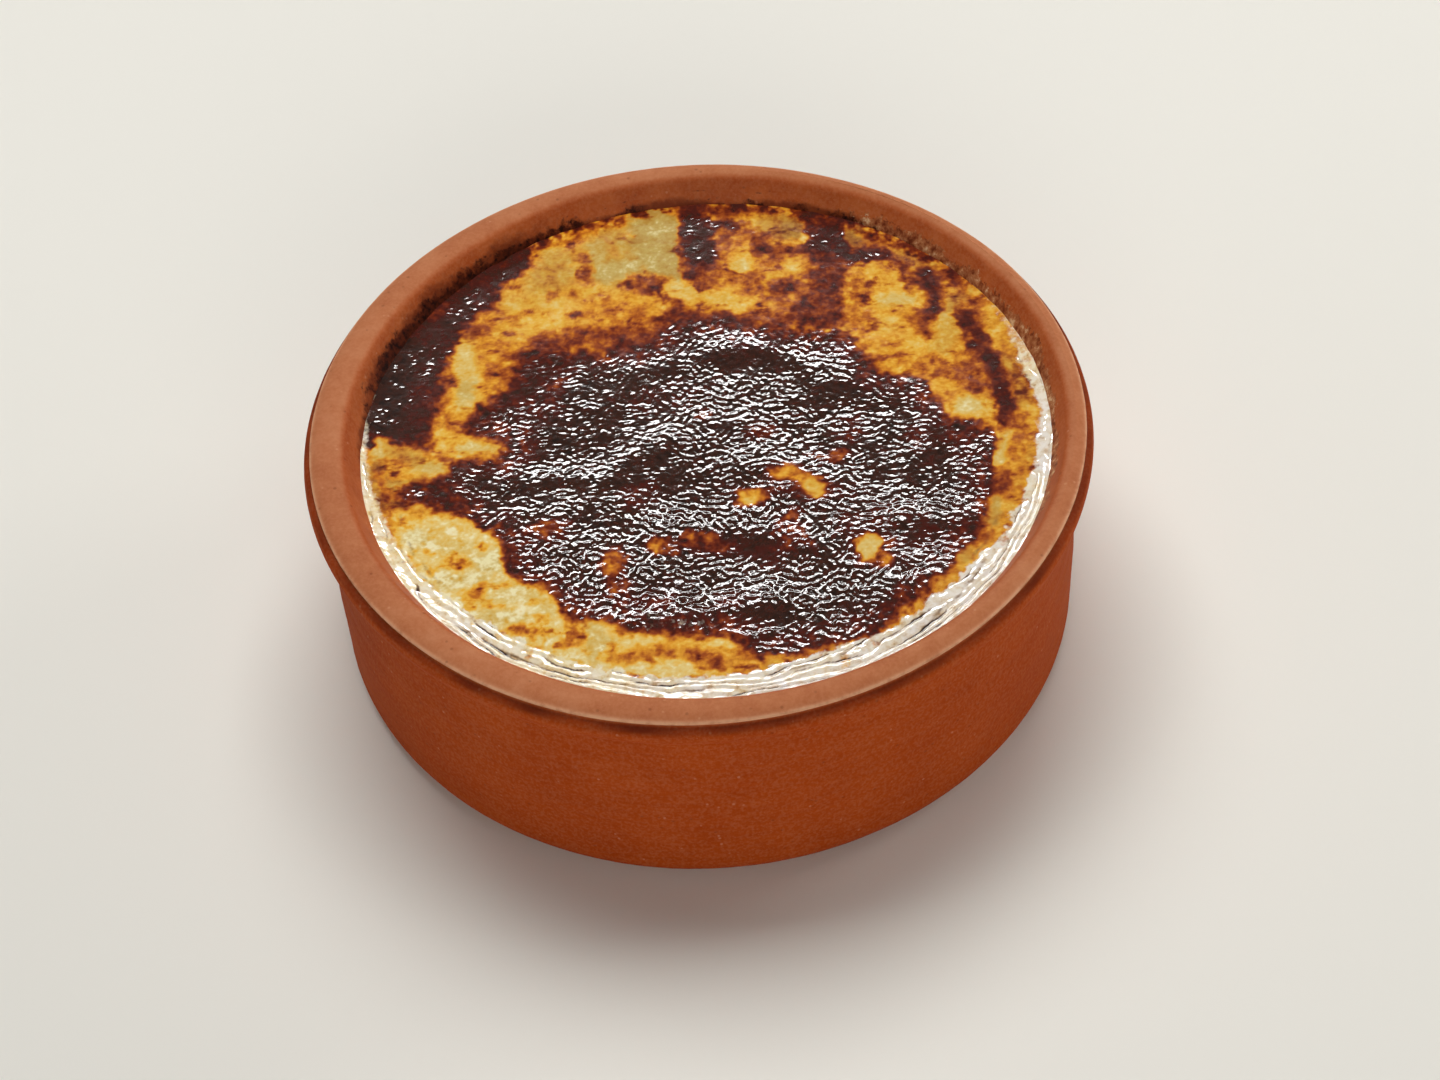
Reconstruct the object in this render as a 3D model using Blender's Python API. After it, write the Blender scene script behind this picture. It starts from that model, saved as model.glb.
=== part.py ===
"""Baked rice pudding in the round earthenware dish that it was baked in.

Metres, +Z up. The origin is the centre of the dish's underside, and -Y is the front.
The dish is thrown and turned: a nearly upright wall on a flat base, with a proud lip whose inner
side slopes down to the filling. The pudding fills it from the floor to a level just under the lip.
"""

import math

import bmesh
import bpy
from mathutils import Vector

MM = 0.001

# ---- dish, in millimetres
LIP_RADIUS = 60.0  # widest, at the middle of the lip's outer face
HEIGHT = 39.5
BODY_RADIUS_TOP = 57.0  # in the groove under the lip
BODY_RADIUS_BELLY = 57.3
BELLY_HEIGHT = 15.0
BASE_RADIUS = 56.7  # before the bottom edge is rounded off
BASE_EDGE_ROUND = 3.6
LIP_UNDERSIDE = HEIGHT - 5.0
LIP_FACE_MIDDLE = HEIGHT - 2.9
LIP_OUTER_ARRIS = (58.95, HEIGHT - 1.1)
LIP_CREST = (56.7, HEIGHT)
LIP_INNER_ARRIS = (54.75, HEIGHT - 0.55)
INNER_SLOPE_FOOT = (52.15, HEIGHT - 4.8)
INNER_RADIUS_MIDDLE = 51.4
INNER_RADIUS_LOW = 50.9
FLOOR_THICKNESS = 5.5
FLOOR_ROUND = 9.0
OPENING_SHIFT = (1.2, 0.4)  # the opening was turned a little off the wall's centre
ROUND_STEPS = 72

# ---- pudding, in millimetres
GAP = 0.3  # between the filling's solid and the dish's
LEVEL = HEIGHT - 4.65  # mean height of the skin
EDGE_RISE = 0.25  # where the skin clings to the wall
SWELL = 0.20  # height of the skin's low swells
SKIN_RINGS = 9
PUDDING_STEPS = 60


def rounded(corners, steps=4):
    """A polyline (r, z) with each corner turned into an arc of the radius given with it."""
    points = []
    for i, (r, z, radius) in enumerate(corners):
        here = Vector((r, z))
        if not radius or i in (0, len(corners) - 1):
            points.append(here)
            continue
        before = (Vector(corners[i - 1][:2]) - here).normalized()
        after = (Vector(corners[i + 1][:2]) - here).normalized()
        half = math.acos(max(-1.0, min(1.0, before.dot(after)))) / 2
        run = radius / math.tan(half)
        start, end = here + before * run, here + after * run
        centre = here + (before + after).normalized() * (radius / math.sin(half))
        a, b = start - centre, end - centre
        turn = a.angle_signed(b)
        for k in range(steps + 1):
            t = -turn * k / steps
            points.append(
                centre
                + Vector(
                    (
                        a.x * math.cos(t) - a.y * math.sin(t),
                        a.x * math.sin(t) + a.y * math.cos(t),
                    )
                )
            )
    return points


def outer_section():
    """The dish's outside, from the middle of its underside up to the crest of its lip."""
    return rounded(
        [
            (0.0, 0.0, 0),
            (BASE_RADIUS, 0.0, BASE_EDGE_ROUND),
            (BODY_RADIUS_BELLY, BELLY_HEIGHT, 0),
            (BODY_RADIUS_TOP, LIP_UNDERSIDE - 0.6, 0.5),
            (LIP_RADIUS - 0.25, LIP_UNDERSIDE, 0.8),
            (LIP_RADIUS, LIP_FACE_MIDDLE, 0),
            (*LIP_OUTER_ARRIS, 0.7),
            (*LIP_CREST, 0),
        ]
    )


def inner_section(gap=0.0):
    """The dish's inside, from the crest down to the middle of its floor, or that shape drawn in by a gap."""
    return rounded(
        [
            (*LIP_CREST, 0),
            (LIP_INNER_ARRIS[0] - gap, LIP_INNER_ARRIS[1], 1.0),
            (INNER_SLOPE_FOOT[0] - gap, INNER_SLOPE_FOOT[1], 3.0),
            (INNER_RADIUS_MIDDLE - gap, 18.0, 0),
            (INNER_RADIUS_LOW - gap, FLOOR_THICKNESS + gap, FLOOR_ROUND - gap),
            (0.0, FLOOR_THICKNESS + gap, 0),
        ]
    )


def wall_radius(height, gap=0.0):
    """Radius of the inside at a height, drawn in by a gap."""
    section = inner_section(gap)
    for a, b in zip(section[1:], section[2:]):
        if a.y >= height >= b.y and a.y > b.y:
            return a.x + (b.x - a.x) * (a.y - height) / (a.y - b.y)
    return section[2].x


def turned(name, rings, steps, material):
    """A closed solid from rings (radius, height(angle), shift), the first and last of which are single points."""
    bm = bmesh.new()
    loops = []
    for radius, height, (dx, dy) in rings:
        if radius < 1e-6:
            loops.append([bm.verts.new((dx * MM, dy * MM, height(0.0) * MM))])
            continue
        loop = []
        for k in range(steps):
            angle = 2 * math.pi * k / steps
            loop.append(
                bm.verts.new(
                    (
                        (dx + radius * math.cos(angle)) * MM,
                        (dy + radius * math.sin(angle)) * MM,
                        height(angle) * MM,
                    )
                )
            )
        loops.append(loop)
    for low, high in zip(loops, loops[1:]):
        for k in range(steps):
            n = (k + 1) % steps
            if len(low) == 1:
                bm.faces.new((low[0], high[n], high[k]))
            elif len(high) == 1:
                bm.faces.new((low[k], low[n], high[0]))
            else:
                bm.faces.new((low[k], low[n], high[n], high[k]))
    bmesh.ops.recalc_face_normals(bm, faces=bm.faces)
    mesh = bpy.data.meshes.new(name)
    bm.to_mesh(mesh)
    bm.free()
    mesh.shade_smooth()
    mesh.set_sharp_from_angle(angle=math.radians(40))
    mesh.materials.append(material)
    obj = bpy.data.objects.new(name, mesh)
    bpy.context.scene.collection.objects.link(obj)
    return obj


def finish(name, colour, roughness):
    """A Principled material of one colour."""
    material = bpy.data.materials.new(name)
    material.use_nodes = True
    shader = material.node_tree.nodes["Principled BSDF"]
    shader.inputs["Base Color"].default_value = (*colour, 1.0)
    shader.inputs["Roughness"].default_value = roughness
    shader.inputs["Metallic"].default_value = 0.0
    return material


def level(height):
    """A ring of one height all round."""
    return lambda angle: height


def make_dish():
    """The thrown dish, its inside a little off the centre of its outside."""
    outside, inside = outer_section(), inner_section()
    rings = [(p.x, level(p.y), (0.0, 0.0)) for p in outside]
    for p in inside[1:]:
        rings.append((p.x, level(p.y), OPENING_SHIFT))
    terracotta = finish("terracotta", (0.36, 0.12, 0.045), 0.6)
    return turned("dish", rings, ROUND_STEPS, terracotta)


def skin_height(radius, angle, edge_radius):
    """Height of the pudding's skin: low swells all over, and a rise where it clings to the wall."""
    x, y = radius * math.cos(angle), radius * math.sin(angle)
    t = radius / edge_radius
    swells = (
        0.45 * math.sin(x / 9.0 + 0.8) * math.cos(y / 11.0 - 0.4)
        + 0.35 * math.sin((x + y) / 6.5 + 2.1)
        + 0.20 * math.cos((x - 1.7 * y) / 5.0)
    )
    return LEVEL + SWELL * swells * (1.0 - t**4) + EDGE_RISE * t**10


def make_pudding():
    """The set rice pudding, solid from the floor of the dish to its skin."""
    top = LEVEL + EDGE_RISE
    edge = wall_radius(top, GAP)
    side = [p for p in inner_section(GAP)[1:] if p.y < top - 0.6]
    rings = [(p.x, level(p.y), OPENING_SHIFT) for p in reversed(side)]
    rings.append((edge, level(top), OPENING_SHIFT))
    for k in range(SKIN_RINGS - 1, 0, -1):
        radius = edge * k / SKIN_RINGS
        rings.append(
            (
                radius,
                lambda angle, radius=radius: skin_height(radius, angle, edge),
                OPENING_SHIFT,
            )
        )
    rings.append((0.0, level(skin_height(0.0, 0.0, edge)), OPENING_SHIFT))
    browned = finish("browned_skin", (0.20, 0.10, 0.035), 0.35)
    return turned("pudding", rings, PUDDING_STEPS, browned)


def main():
    """Clears the scene and makes the two solids."""
    for obj in list(bpy.data.objects):
        bpy.data.objects.remove(obj, do_unlink=True)
    make_dish()
    make_pudding()


main()
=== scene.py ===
"""Looks of a baked rice pudding in its earthenware dish.

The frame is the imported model, in metres, +Z up and -Y the front. Sizes below are in millimetres.
The dish is lathed anew with its tool marks, and the pudding gets its real skin: low swells, grains
of rice under it, fine wrinkles where it scorched, and a milky film that clings to the wall.
"""

import math

import bpy
import numpy as np
from mathutils import Matrix, Vector


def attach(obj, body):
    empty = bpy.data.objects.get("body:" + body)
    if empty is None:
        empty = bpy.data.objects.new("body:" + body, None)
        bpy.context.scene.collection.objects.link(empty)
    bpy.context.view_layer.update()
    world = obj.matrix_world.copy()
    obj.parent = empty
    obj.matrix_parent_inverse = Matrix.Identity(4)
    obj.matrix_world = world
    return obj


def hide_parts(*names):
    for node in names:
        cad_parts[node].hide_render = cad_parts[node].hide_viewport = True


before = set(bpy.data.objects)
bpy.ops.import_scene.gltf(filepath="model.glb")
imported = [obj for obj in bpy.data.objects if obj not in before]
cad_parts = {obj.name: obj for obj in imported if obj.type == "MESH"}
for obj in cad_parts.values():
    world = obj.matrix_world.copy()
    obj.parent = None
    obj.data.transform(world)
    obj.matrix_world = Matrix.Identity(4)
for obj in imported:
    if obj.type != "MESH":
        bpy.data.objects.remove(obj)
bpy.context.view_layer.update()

MM = 0.001
scene = bpy.context.scene

# ---- the dish's section, in millimetres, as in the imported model
HEIGHT = 39.5
LIP_RADIUS = 59.95
OPENING_SHIFT = np.array([1.2, 0.4])
LEVEL = HEIGHT - 4.65
DISH_STEPS = 540
SKIN_CELLS = 416  # cells of 0.27 mm, finer by the wall; the skin is made as a back and a front half


# ---------------------------------------------------------------- camera
def make_camera():
    """The photograph's view: about 47 degrees above the horizon, turned a little about its own axis."""
    e, roll = math.radians(47.4342), math.radians(-3.9931)
    back = Vector((0.0, -math.cos(e), math.sin(e)))
    right = Vector((1.0, 0.0, 0.0))
    up = Vector((0.0, math.sin(e), math.cos(e)))
    x = right * math.cos(roll) + up * math.sin(roll)
    y = up * math.cos(roll) - right * math.sin(roll)
    data = bpy.data.cameras.new("camera")
    data.sensor_fit = "HORIZONTAL"
    data.sensor_width = 36.0
    data.lens = 98.05
    data.clip_start, data.clip_end = 0.02, 20.0
    camera = bpy.data.objects.new("camera", data)
    place = Matrix((x, y, back)).transposed().to_4x4()
    place.translation = Vector((0.0022818, -0.4139722, 0.4631913))
    camera.matrix_world = place
    scene.collection.objects.link(camera)
    scene.camera = camera


# ---------------------------------------------------------------- numbers
def smooth(a, b, x):
    """0 below a, 1 above b, and a smooth step between them."""
    t = np.clip((x - a) / (b - a), 0.0, 1.0)
    return t * t * (3.0 - 2.0 * t)


def mix(a, b, t):
    return a + (b - a) * t


def lattice(seed, ix, iy):
    """A repeatable number from 0 to 1 for each point of a square lattice."""
    h = ix.astype(np.int64) * 374761393 + iy.astype(np.int64) * 668265263 + seed * 974634777
    h &= 0xFFFFFFFF
    h = ((h ^ (h >> 13)) * 1274126177) & 0xFFFFFFFF
    h ^= h >> 16
    return (h & 0xFFFFFF) / float(0x1000000)


def noise(x, y, size, seed):
    """Gradient noise from about -1 to 1 whose lumps are about `size` across."""
    x, y = x / size, y / size
    ix, iy = np.floor(x), np.floor(y)
    fx, fy = x - ix, y - iy
    ux = fx * fx * fx * (fx * (fx * 6 - 15) + 10)
    uy = fy * fy * fy * (fy * (fy * 6 - 15) + 10)

    def corner(dx, dy):
        a = 2 * np.pi * lattice(seed, ix + dx, iy + dy)
        return np.cos(a) * (fx - dx) + np.sin(a) * (fy - dy)

    low = mix(corner(0, 0), corner(1, 0), ux)
    high = mix(corner(0, 1), corner(1, 1), ux)
    return 1.5 * mix(low, high, uy)


def layered(x, y, size, seed, octaves=4, keep=0.5):
    """Noise with finer noise on top of it."""
    total, share, reach = 0.0, 1.0, 0.0
    for k in range(octaves):
        total = total + share * noise(x + 17.3 * k, y - 9.1 * k, size / 2**k, seed + 31 * k)
        reach += share
        share *= keep
    return total / reach


def along(x, y, points):
    """Distance to a line through points, and how far along it the nearest place is, from 0 to 1."""
    points = np.asarray(points, float)
    best = np.full(x.shape, 1e9)
    where = np.zeros(x.shape)
    last = max(len(points) - 1, 1)
    if len(points) == 1:
        return np.hypot(x - points[0, 0], y - points[0, 1]), where
    for k, (a, b) in enumerate(zip(points, points[1:])):
        d = b - a
        t = np.clip(((x - a[0]) * d[0] + (y - a[1]) * d[1]) / max(d @ d, 1e-9), 0, 1)
        r = np.hypot(x - a[0] - t * d[0], y - a[1] - t * d[1])
        nearer = r < best
        best = np.where(nearer, r, best)
        where = np.where(nearer, (k + t) / last, where)
    return best, where


def blot(x, y, cx, cy, rx, ry, turn=0.0):
    """Signed distance, roughly in millimetres, to an ellipse: below 0 inside."""
    c, s = math.cos(math.radians(turn)), math.sin(math.radians(turn))
    u = (x - cx) * c + (y - cy) * s
    v = -(x - cx) * s + (y - cy) * c
    q = np.hypot(u / rx, v / ry)
    return (q - 1.0) * min(rx, ry) * 1.15


def streak(x, y, radius, *points):
    """Signed distance to a line of some width; radius is one number, or one for each end."""
    d, t = along(x, y, points)
    ends = radius if isinstance(radius, tuple) else (radius, radius)
    return d - mix(ends[0], ends[1], t)


def outline(x, y, points):
    """Signed distance to a closed line: below 0 inside."""
    ring = list(points) + [points[0]]
    d, _ = along(x, y, ring)
    inside = np.zeros(x.shape, bool)
    for (ax, ay), (bx, by) in zip(ring, ring[1:]):
        if ay == by:
            continue
        crosses = (ay > y) != (by > y)
        inside ^= crosses & (x < (bx - ax) * (y - ay) / (by - ay) + ax)
    return np.where(inside, -d, d)


def worms(x, y, length, seed, lean=1.5, count=60):
    """A labyrinth of ridges and furrows of about one wavelength, a little more of them lying across; spread about 1."""
    rng = np.random.default_rng(seed)
    total = np.zeros(x.shape)
    for _ in range(count):
        turn = np.pi / 2 + rng.normal(0.0, lean)
        k = 2 * np.pi / (length * rng.uniform(0.84, 1.22))
        total += np.cos(k * (x * math.cos(turn) + y * math.sin(turn)) + rng.uniform(0, 2 * np.pi))
    return total / math.sqrt(count / 2)


# ---------------------------------------------------------------- meshes
def make_object(name, verts, faces, fields, material, node):
    """A piece from vertices in millimetres, with one float attribute for each field."""
    mesh = bpy.data.meshes.new(name)
    mesh.from_pydata((verts * MM).tolist(), [], faces)
    for key, values in fields.items():
        made = mesh.attributes.new(key, "FLOAT", "POINT")
        made.data.foreach_set("value", values.astype(np.float32))
    mesh.shade_smooth()
    mesh.materials.append(material)
    mesh.update()
    obj = bpy.data.objects.new(name, mesh)
    scene.collection.objects.link(obj)
    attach(obj, "root")
    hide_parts(node)
    return obj


def rounded(corners, steps=7):
    """A polyline (r, z) with each corner turned into an arc of the radius given with it."""
    points = []
    for i, (r, z, radius) in enumerate(corners):
        here = Vector((r, z))
        if not radius or i in (0, len(corners) - 1):
            points.append(here)
            continue
        before = (Vector(corners[i - 1][:2]) - here).normalized()
        after = (Vector(corners[i + 1][:2]) - here).normalized()
        half = math.acos(max(-1.0, min(1.0, before.dot(after)))) / 2
        run = radius / math.tan(half)
        start, end = here + before * run, here + after * run
        centre = here + (before + after).normalized() * (radius / math.sin(half))
        a, b = start - centre, end - centre
        turn = a.angle_signed(b)
        for k in range(steps + 1):
            t = -turn * k / steps
            points.append(
                centre
                + Vector((a.x * math.cos(t) - a.y * math.sin(t), a.x * math.sin(t) + a.y * math.cos(t)))
            )
    return np.array([tuple(p) for p in points])


def resampled(points, spacing, rounds=2):
    """The same line with points at an even spacing, its corners eased a little."""
    steps = np.hypot(*np.diff(points, axis=0).T)
    run = np.concatenate([[0.0], np.cumsum(steps)])
    count = max(2, int(round(run[-1] / spacing)) + 1)
    at = np.linspace(0.0, run[-1], count)
    line = np.stack([np.interp(at, run, points[:, 0]), np.interp(at, run, points[:, 1])], 1)
    for _ in range(rounds):
        line[1:-1] = 0.25 * line[:-2] + 0.5 * line[1:-1] + 0.25 * line[2:]
    return line


OUTSIDE = rounded(
    [
        (50.0, 0.0, 0),
        (56.7, 0.0, 3.6),
        (57.3, 15.0, 0),
        (57.0, HEIGHT - 5.5, 0.5),
        (LIP_RADIUS - 0.35, HEIGHT - 4.9, 0.7),
        (LIP_RADIUS, HEIGHT - 3.4, 1.2),
        (LIP_RADIUS - 0.35, HEIGHT - 2.25, 0.5),
        (58.45, HEIGHT - 1.75, 0.25),
        (59.1, HEIGHT - 1.05, 0.32),
        (56.7, HEIGHT, 4.2),
        (54.75, HEIGHT - 0.55, 1.3),
        (52.15, HEIGHT - 4.8, 3.0),
        (51.9, HEIGHT - 9.0, 0),
    ]
)
INSIDE_BELOW = rounded([(51.9, HEIGHT - 9.0, 0), (51.4, 18.0, 0), (50.9, 5.5, 9.0), (20.0, 5.5, 0)], 5)


def inner_wander(angle):
    """How far the inside of the wall strays from a true circle."""
    return 0.10 * np.sin(2 * angle + 0.7) + 0.06 * np.sin(3 * angle - 1.9) + 0.04 * np.sin(7 * angle + 0.4)


def outer_wander(angle):
    """How far the outside strays inwards from a true circle; never outwards."""
    return -0.16 + 0.08 * np.sin(2 * angle + 2.2) + 0.05 * np.sin(3 * angle + 0.6) + 0.03 * np.sin(5 * angle - 1.2)


def wall_radius(height):
    """Radius of the inside of the wall at a height, without its wander."""
    inside = OUTSIDE[np.argmax(OUTSIDE[:, 1]) + 1 :]
    return float(np.interp(-height, -inside[:, 1], inside[:, 0]))


# ---------------------------------------------------------------- node trees
def srgb(r, g, b):
    """A colour as read on a screen, 0 to 255, as the linear value that shaders use."""
    def one(c):
        c /= 255.0
        return c / 12.92 if c <= 0.04045 else ((c + 0.055) / 1.055) ** 2.4

    return (one(r), one(g), one(b), 1.0)


class Tree:
    """A material's nodes, written in a few words each."""

    def __init__(self, name):
        self.material = bpy.data.materials.new(name)
        self.material.use_nodes = True
        self.nodes = self.material.node_tree.nodes
        self.links = self.material.node_tree.links
        self.shader = self.nodes["Principled BSDF"]
        coords = self.nodes.new("ShaderNodeTexCoord")
        scaled = self.nodes.new("ShaderNodeVectorMath")
        scaled.operation = "SCALE"
        scaled.inputs["Scale"].default_value = 1000.0
        self.links.new(coords.outputs["Object"], scaled.inputs[0])
        self.place = scaled.outputs[0]  # position in millimetres

    def put(self, socket, value):
        if isinstance(value, bpy.types.NodeSocket):
            self.links.new(value, socket)
        else:
            socket.default_value = value

    def field(self, name):
        node = self.nodes.new("ShaderNodeAttribute")
        node.attribute_name = name
        return node.outputs["Fac"]

    def stretched(self, x, y, z):
        node = self.nodes.new("ShaderNodeVectorMath")
        node.operation = "MULTIPLY"
        self.links.new(self.place, node.inputs[0])
        node.inputs[1].default_value = (x, y, z)
        return node.outputs[0]

    def noise(self, size, detail=3.0, rough=0.5, place=None, distortion=0.0):
        node = self.nodes.new("ShaderNodeTexNoise")
        self.links.new(place or self.place, node.inputs["Vector"])
        node.inputs["Scale"].default_value = 1.0 / size
        node.inputs["Detail"].default_value = detail
        node.inputs["Roughness"].default_value = rough
        node.inputs["Distortion"].default_value = distortion
        return node.outputs["Fac"]

    def cells(self, size, place=None, randomness=1.0):
        node = self.nodes.new("ShaderNodeTexVoronoi")
        self.links.new(place or self.place, node.inputs["Vector"])
        node.inputs["Scale"].default_value = 1.0 / size
        node.inputs["Randomness"].default_value = randomness
        return node.outputs["Distance"]

    def math(self, operation, a, b=0.0, clamp=False):
        node = self.nodes.new("ShaderNodeMath")
        node.operation = operation
        node.use_clamp = clamp
        self.put(node.inputs[0], a)
        self.put(node.inputs[1], b)
        return node.outputs[0]

    def fit(self, value, low, high, to_low=0.0, to_high=1.0):
        node = self.nodes.new("ShaderNodeMapRange")
        node.interpolation_type = "SMOOTHSTEP"
        self.put(node.inputs["Value"], value)
        node.inputs["From Min"].default_value = low
        node.inputs["From Max"].default_value = high
        node.inputs["To Min"].default_value = to_low
        node.inputs["To Max"].default_value = to_high
        return node.outputs["Result"]

    def blend(self, factor, a, b, kind="MIX"):
        node = self.nodes.new("ShaderNodeMix")
        node.data_type = "RGBA"
        node.blend_type = kind
        node.clamp_factor = True
        self.put(node.inputs["Factor"], factor)
        self.put(node.inputs["A"] if False else node.inputs[6], a)
        self.put(node.inputs[7], b)
        return node.outputs[2]

    def ramp(self, value, stops, kind="LINEAR"):
        node = self.nodes.new("ShaderNodeValToRGB")
        ramp = node.color_ramp
        ramp.interpolation = kind
        while len(ramp.elements) < len(stops):
            ramp.elements.new(0.5)
        for element, (at, colour) in zip(ramp.elements, stops):
            element.position = at
            element.color = colour
        self.put(node.inputs["Fac"], value)
        return node.outputs["Color"]

    def bump(self, height, distance, strength=1.0, under=None):
        node = self.nodes.new("ShaderNodeBump")
        node.inputs["Distance"].default_value = distance * MM
        self.put(node.inputs["Strength"], strength)
        self.put(node.inputs["Height"], height)
        if under is not None:
            self.links.new(under, node.inputs["Normal"])
        return node.outputs["Normal"]


# ---------------------------------------------------------------- the dish
def terracotta():
    """Unglazed fired clay outside, paler on the lip's top (partly paler clay, partly painted sheen), a painted
    highlight on the lip's outer edge and painted shade under it, and a thin brown glaze inside.
    """
    t = Tree("terracotta")
    lip, inside, groove = t.field("lip"), t.field("inside"), t.field("groove")
    scorch, film, stain, arris_highlight = t.field("scorch"), t.field("film"), t.field("stain"), t.field("arris_highlight")

    cloudy = t.noise(14.0, 4.0, 0.55)
    turned = t.noise(1.0, 3.0, 0.6, t.stretched(0.07, 0.07, 1.6))
    grain = t.noise(0.55, 2.0, 0.6)
    body = t.ramp(
        t.math("ADD", t.math("MULTIPLY", cloudy, 0.55), t.math("MULTIPLY", turned, 0.45)),
        [
            (0.25, srgb(160, 58, 8)),
            (0.5, srgb(173, 68, 12)),
            (0.75, srgb(184, 79, 22)),
        ],
    )
    rim = t.ramp(
        t.math("ADD", t.math("MULTIPLY", cloudy, 0.5), t.math("MULTIPLY", t.noise(3.0, 4.0, 0.6), 0.5)),
        [
            (0.3, srgb(172, 98, 60)),
            (0.5, srgb(185, 112, 72)),
            (0.72, srgb(198, 130, 90)),
        ],
    )
    glazed = t.ramp(
        t.noise(6.0, 4.0, 0.6),
        [
            (0.3, srgb(166, 76, 34)),
            (0.6, srgb(184, 94, 46)),
            (0.8, srgb(196, 110, 62)),
        ],
    )
    # the lip's top is paler than the body: partly paler clay, partly painted sheen
    colour = t.blend(lip, body, rim)
    colour = t.blend(inside, colour, glazed)
    # grit: pale specks, and dark ones where grains broke out
    pale = t.fit(t.cells(1.9), 0.16, 0.06)
    dark = t.fit(t.cells(2.7, t.stretched(1.0, 1.0, 1.3)), 0.13, 0.05)
    rare = t.fit(t.noise(5.0, 1.0), 0.5, 0.62)
    colour = t.blend(t.math("MULTIPLY", pale, t.math("MULTIPLY", rare, 0.35)), colour, srgb(216, 160, 122))
    colour = t.blend(t.math("MULTIPLY", dark, 0.35), colour, srgb(90, 36, 18))
    colour = t.blend(t.fit(grain, 0.35, 0.7, 0.0, 0.16), colour, srgb(216, 150, 110))

    # a painted highlight along the lip's outer edge, in patches
    colour = t.blend(t.math("MULTIPLY", arris_highlight, t.fit(t.noise(2.2, 3.0, 0.6), 0.25, 0.6, 0.35, 0.95)), colour, srgb(242, 188, 148))
    # painted shade in the undercut under the lip's edge and under the whole lip
    colour = t.blend(t.math("MULTIPLY", groove, 0.75), colour, srgb(92, 26, 6))
    # the wall is stained just above the skin
    soaked = t.math("ADD", stain, t.math("MULTIPLY", t.math("SUBTRACT", t.noise(1.6, 4.0, 0.6), 0.5), 1.1))
    colour = t.blend(t.math("MULTIPLY", t.fit(soaked, 0.2, 0.9), t.fit(stain, 0.02, 0.3, 0.0, 0.8)), colour, srgb(104, 40, 18))
    # what boiled over and dried on the inner slope: tan specks, and burnt patches
    grains = t.math("SUBTRACT", t.noise(0.8, 3.0, 0.65), 0.5)
    tan = t.ramp(t.noise(1.4, 3.0, 0.65, t.stretched(1.0, 1.0, 0.8)), [(0.34, srgb(98, 42, 22)), (0.46, srgb(150, 84, 50)), (0.58, srgb(188, 126, 82)), (0.70, srgb(230, 196, 150))])
    flecks = t.fit(t.math("ADD", film, t.math("MULTIPLY", grains, 1.6)), 0.42, 0.62)
    colour = t.blend(t.math("MULTIPLY", flecks, t.fit(film, 0.02, 0.3, 0.0, 0.85)), colour, tan)
    burnt = t.fit(t.math("ADD", scorch, t.math("MULTIPLY", t.math("SUBTRACT", t.noise(1.1, 4.0, 0.65), 0.5), 1.7)), 0.3, 0.85)
    burnt = t.math("MULTIPLY", burnt, t.fit(scorch, 0.02, 0.25))
    colour = t.blend(burnt, colour, t.ramp(t.noise(0.8, 2.0), [(0.35, srgb(34, 12, 8)), (0.65, srgb(86, 34, 16))]))
    t.put(t.shader.inputs["Base Color"], colour)

    rough = t.math("ADD", t.fit(grain, 0.3, 0.7, 0.64, 0.78), t.math("MULTIPLY", inside, -0.24))
    rough = t.math("ADD", rough, t.math("MULTIPLY", burnt, -0.05))
    t.put(t.shader.inputs["Roughness"], rough)
    t.shader.inputs["Specular IOR Level"].default_value = 0.04
    fine = t.math("ADD", t.math("MULTIPLY", turned, 0.6), t.math("MULTIPLY", grain, 0.5))
    fine = t.math("ADD", fine, t.math("MULTIPLY", dark, -0.6))
    fine = t.math("ADD", fine, t.math("MULTIPLY", flecks, t.math("MULTIPLY", grains, 1.6)))
    t.put(t.shader.inputs["Normal"], t.bump(fine, 0.06, 0.8))
    return t.material


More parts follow.
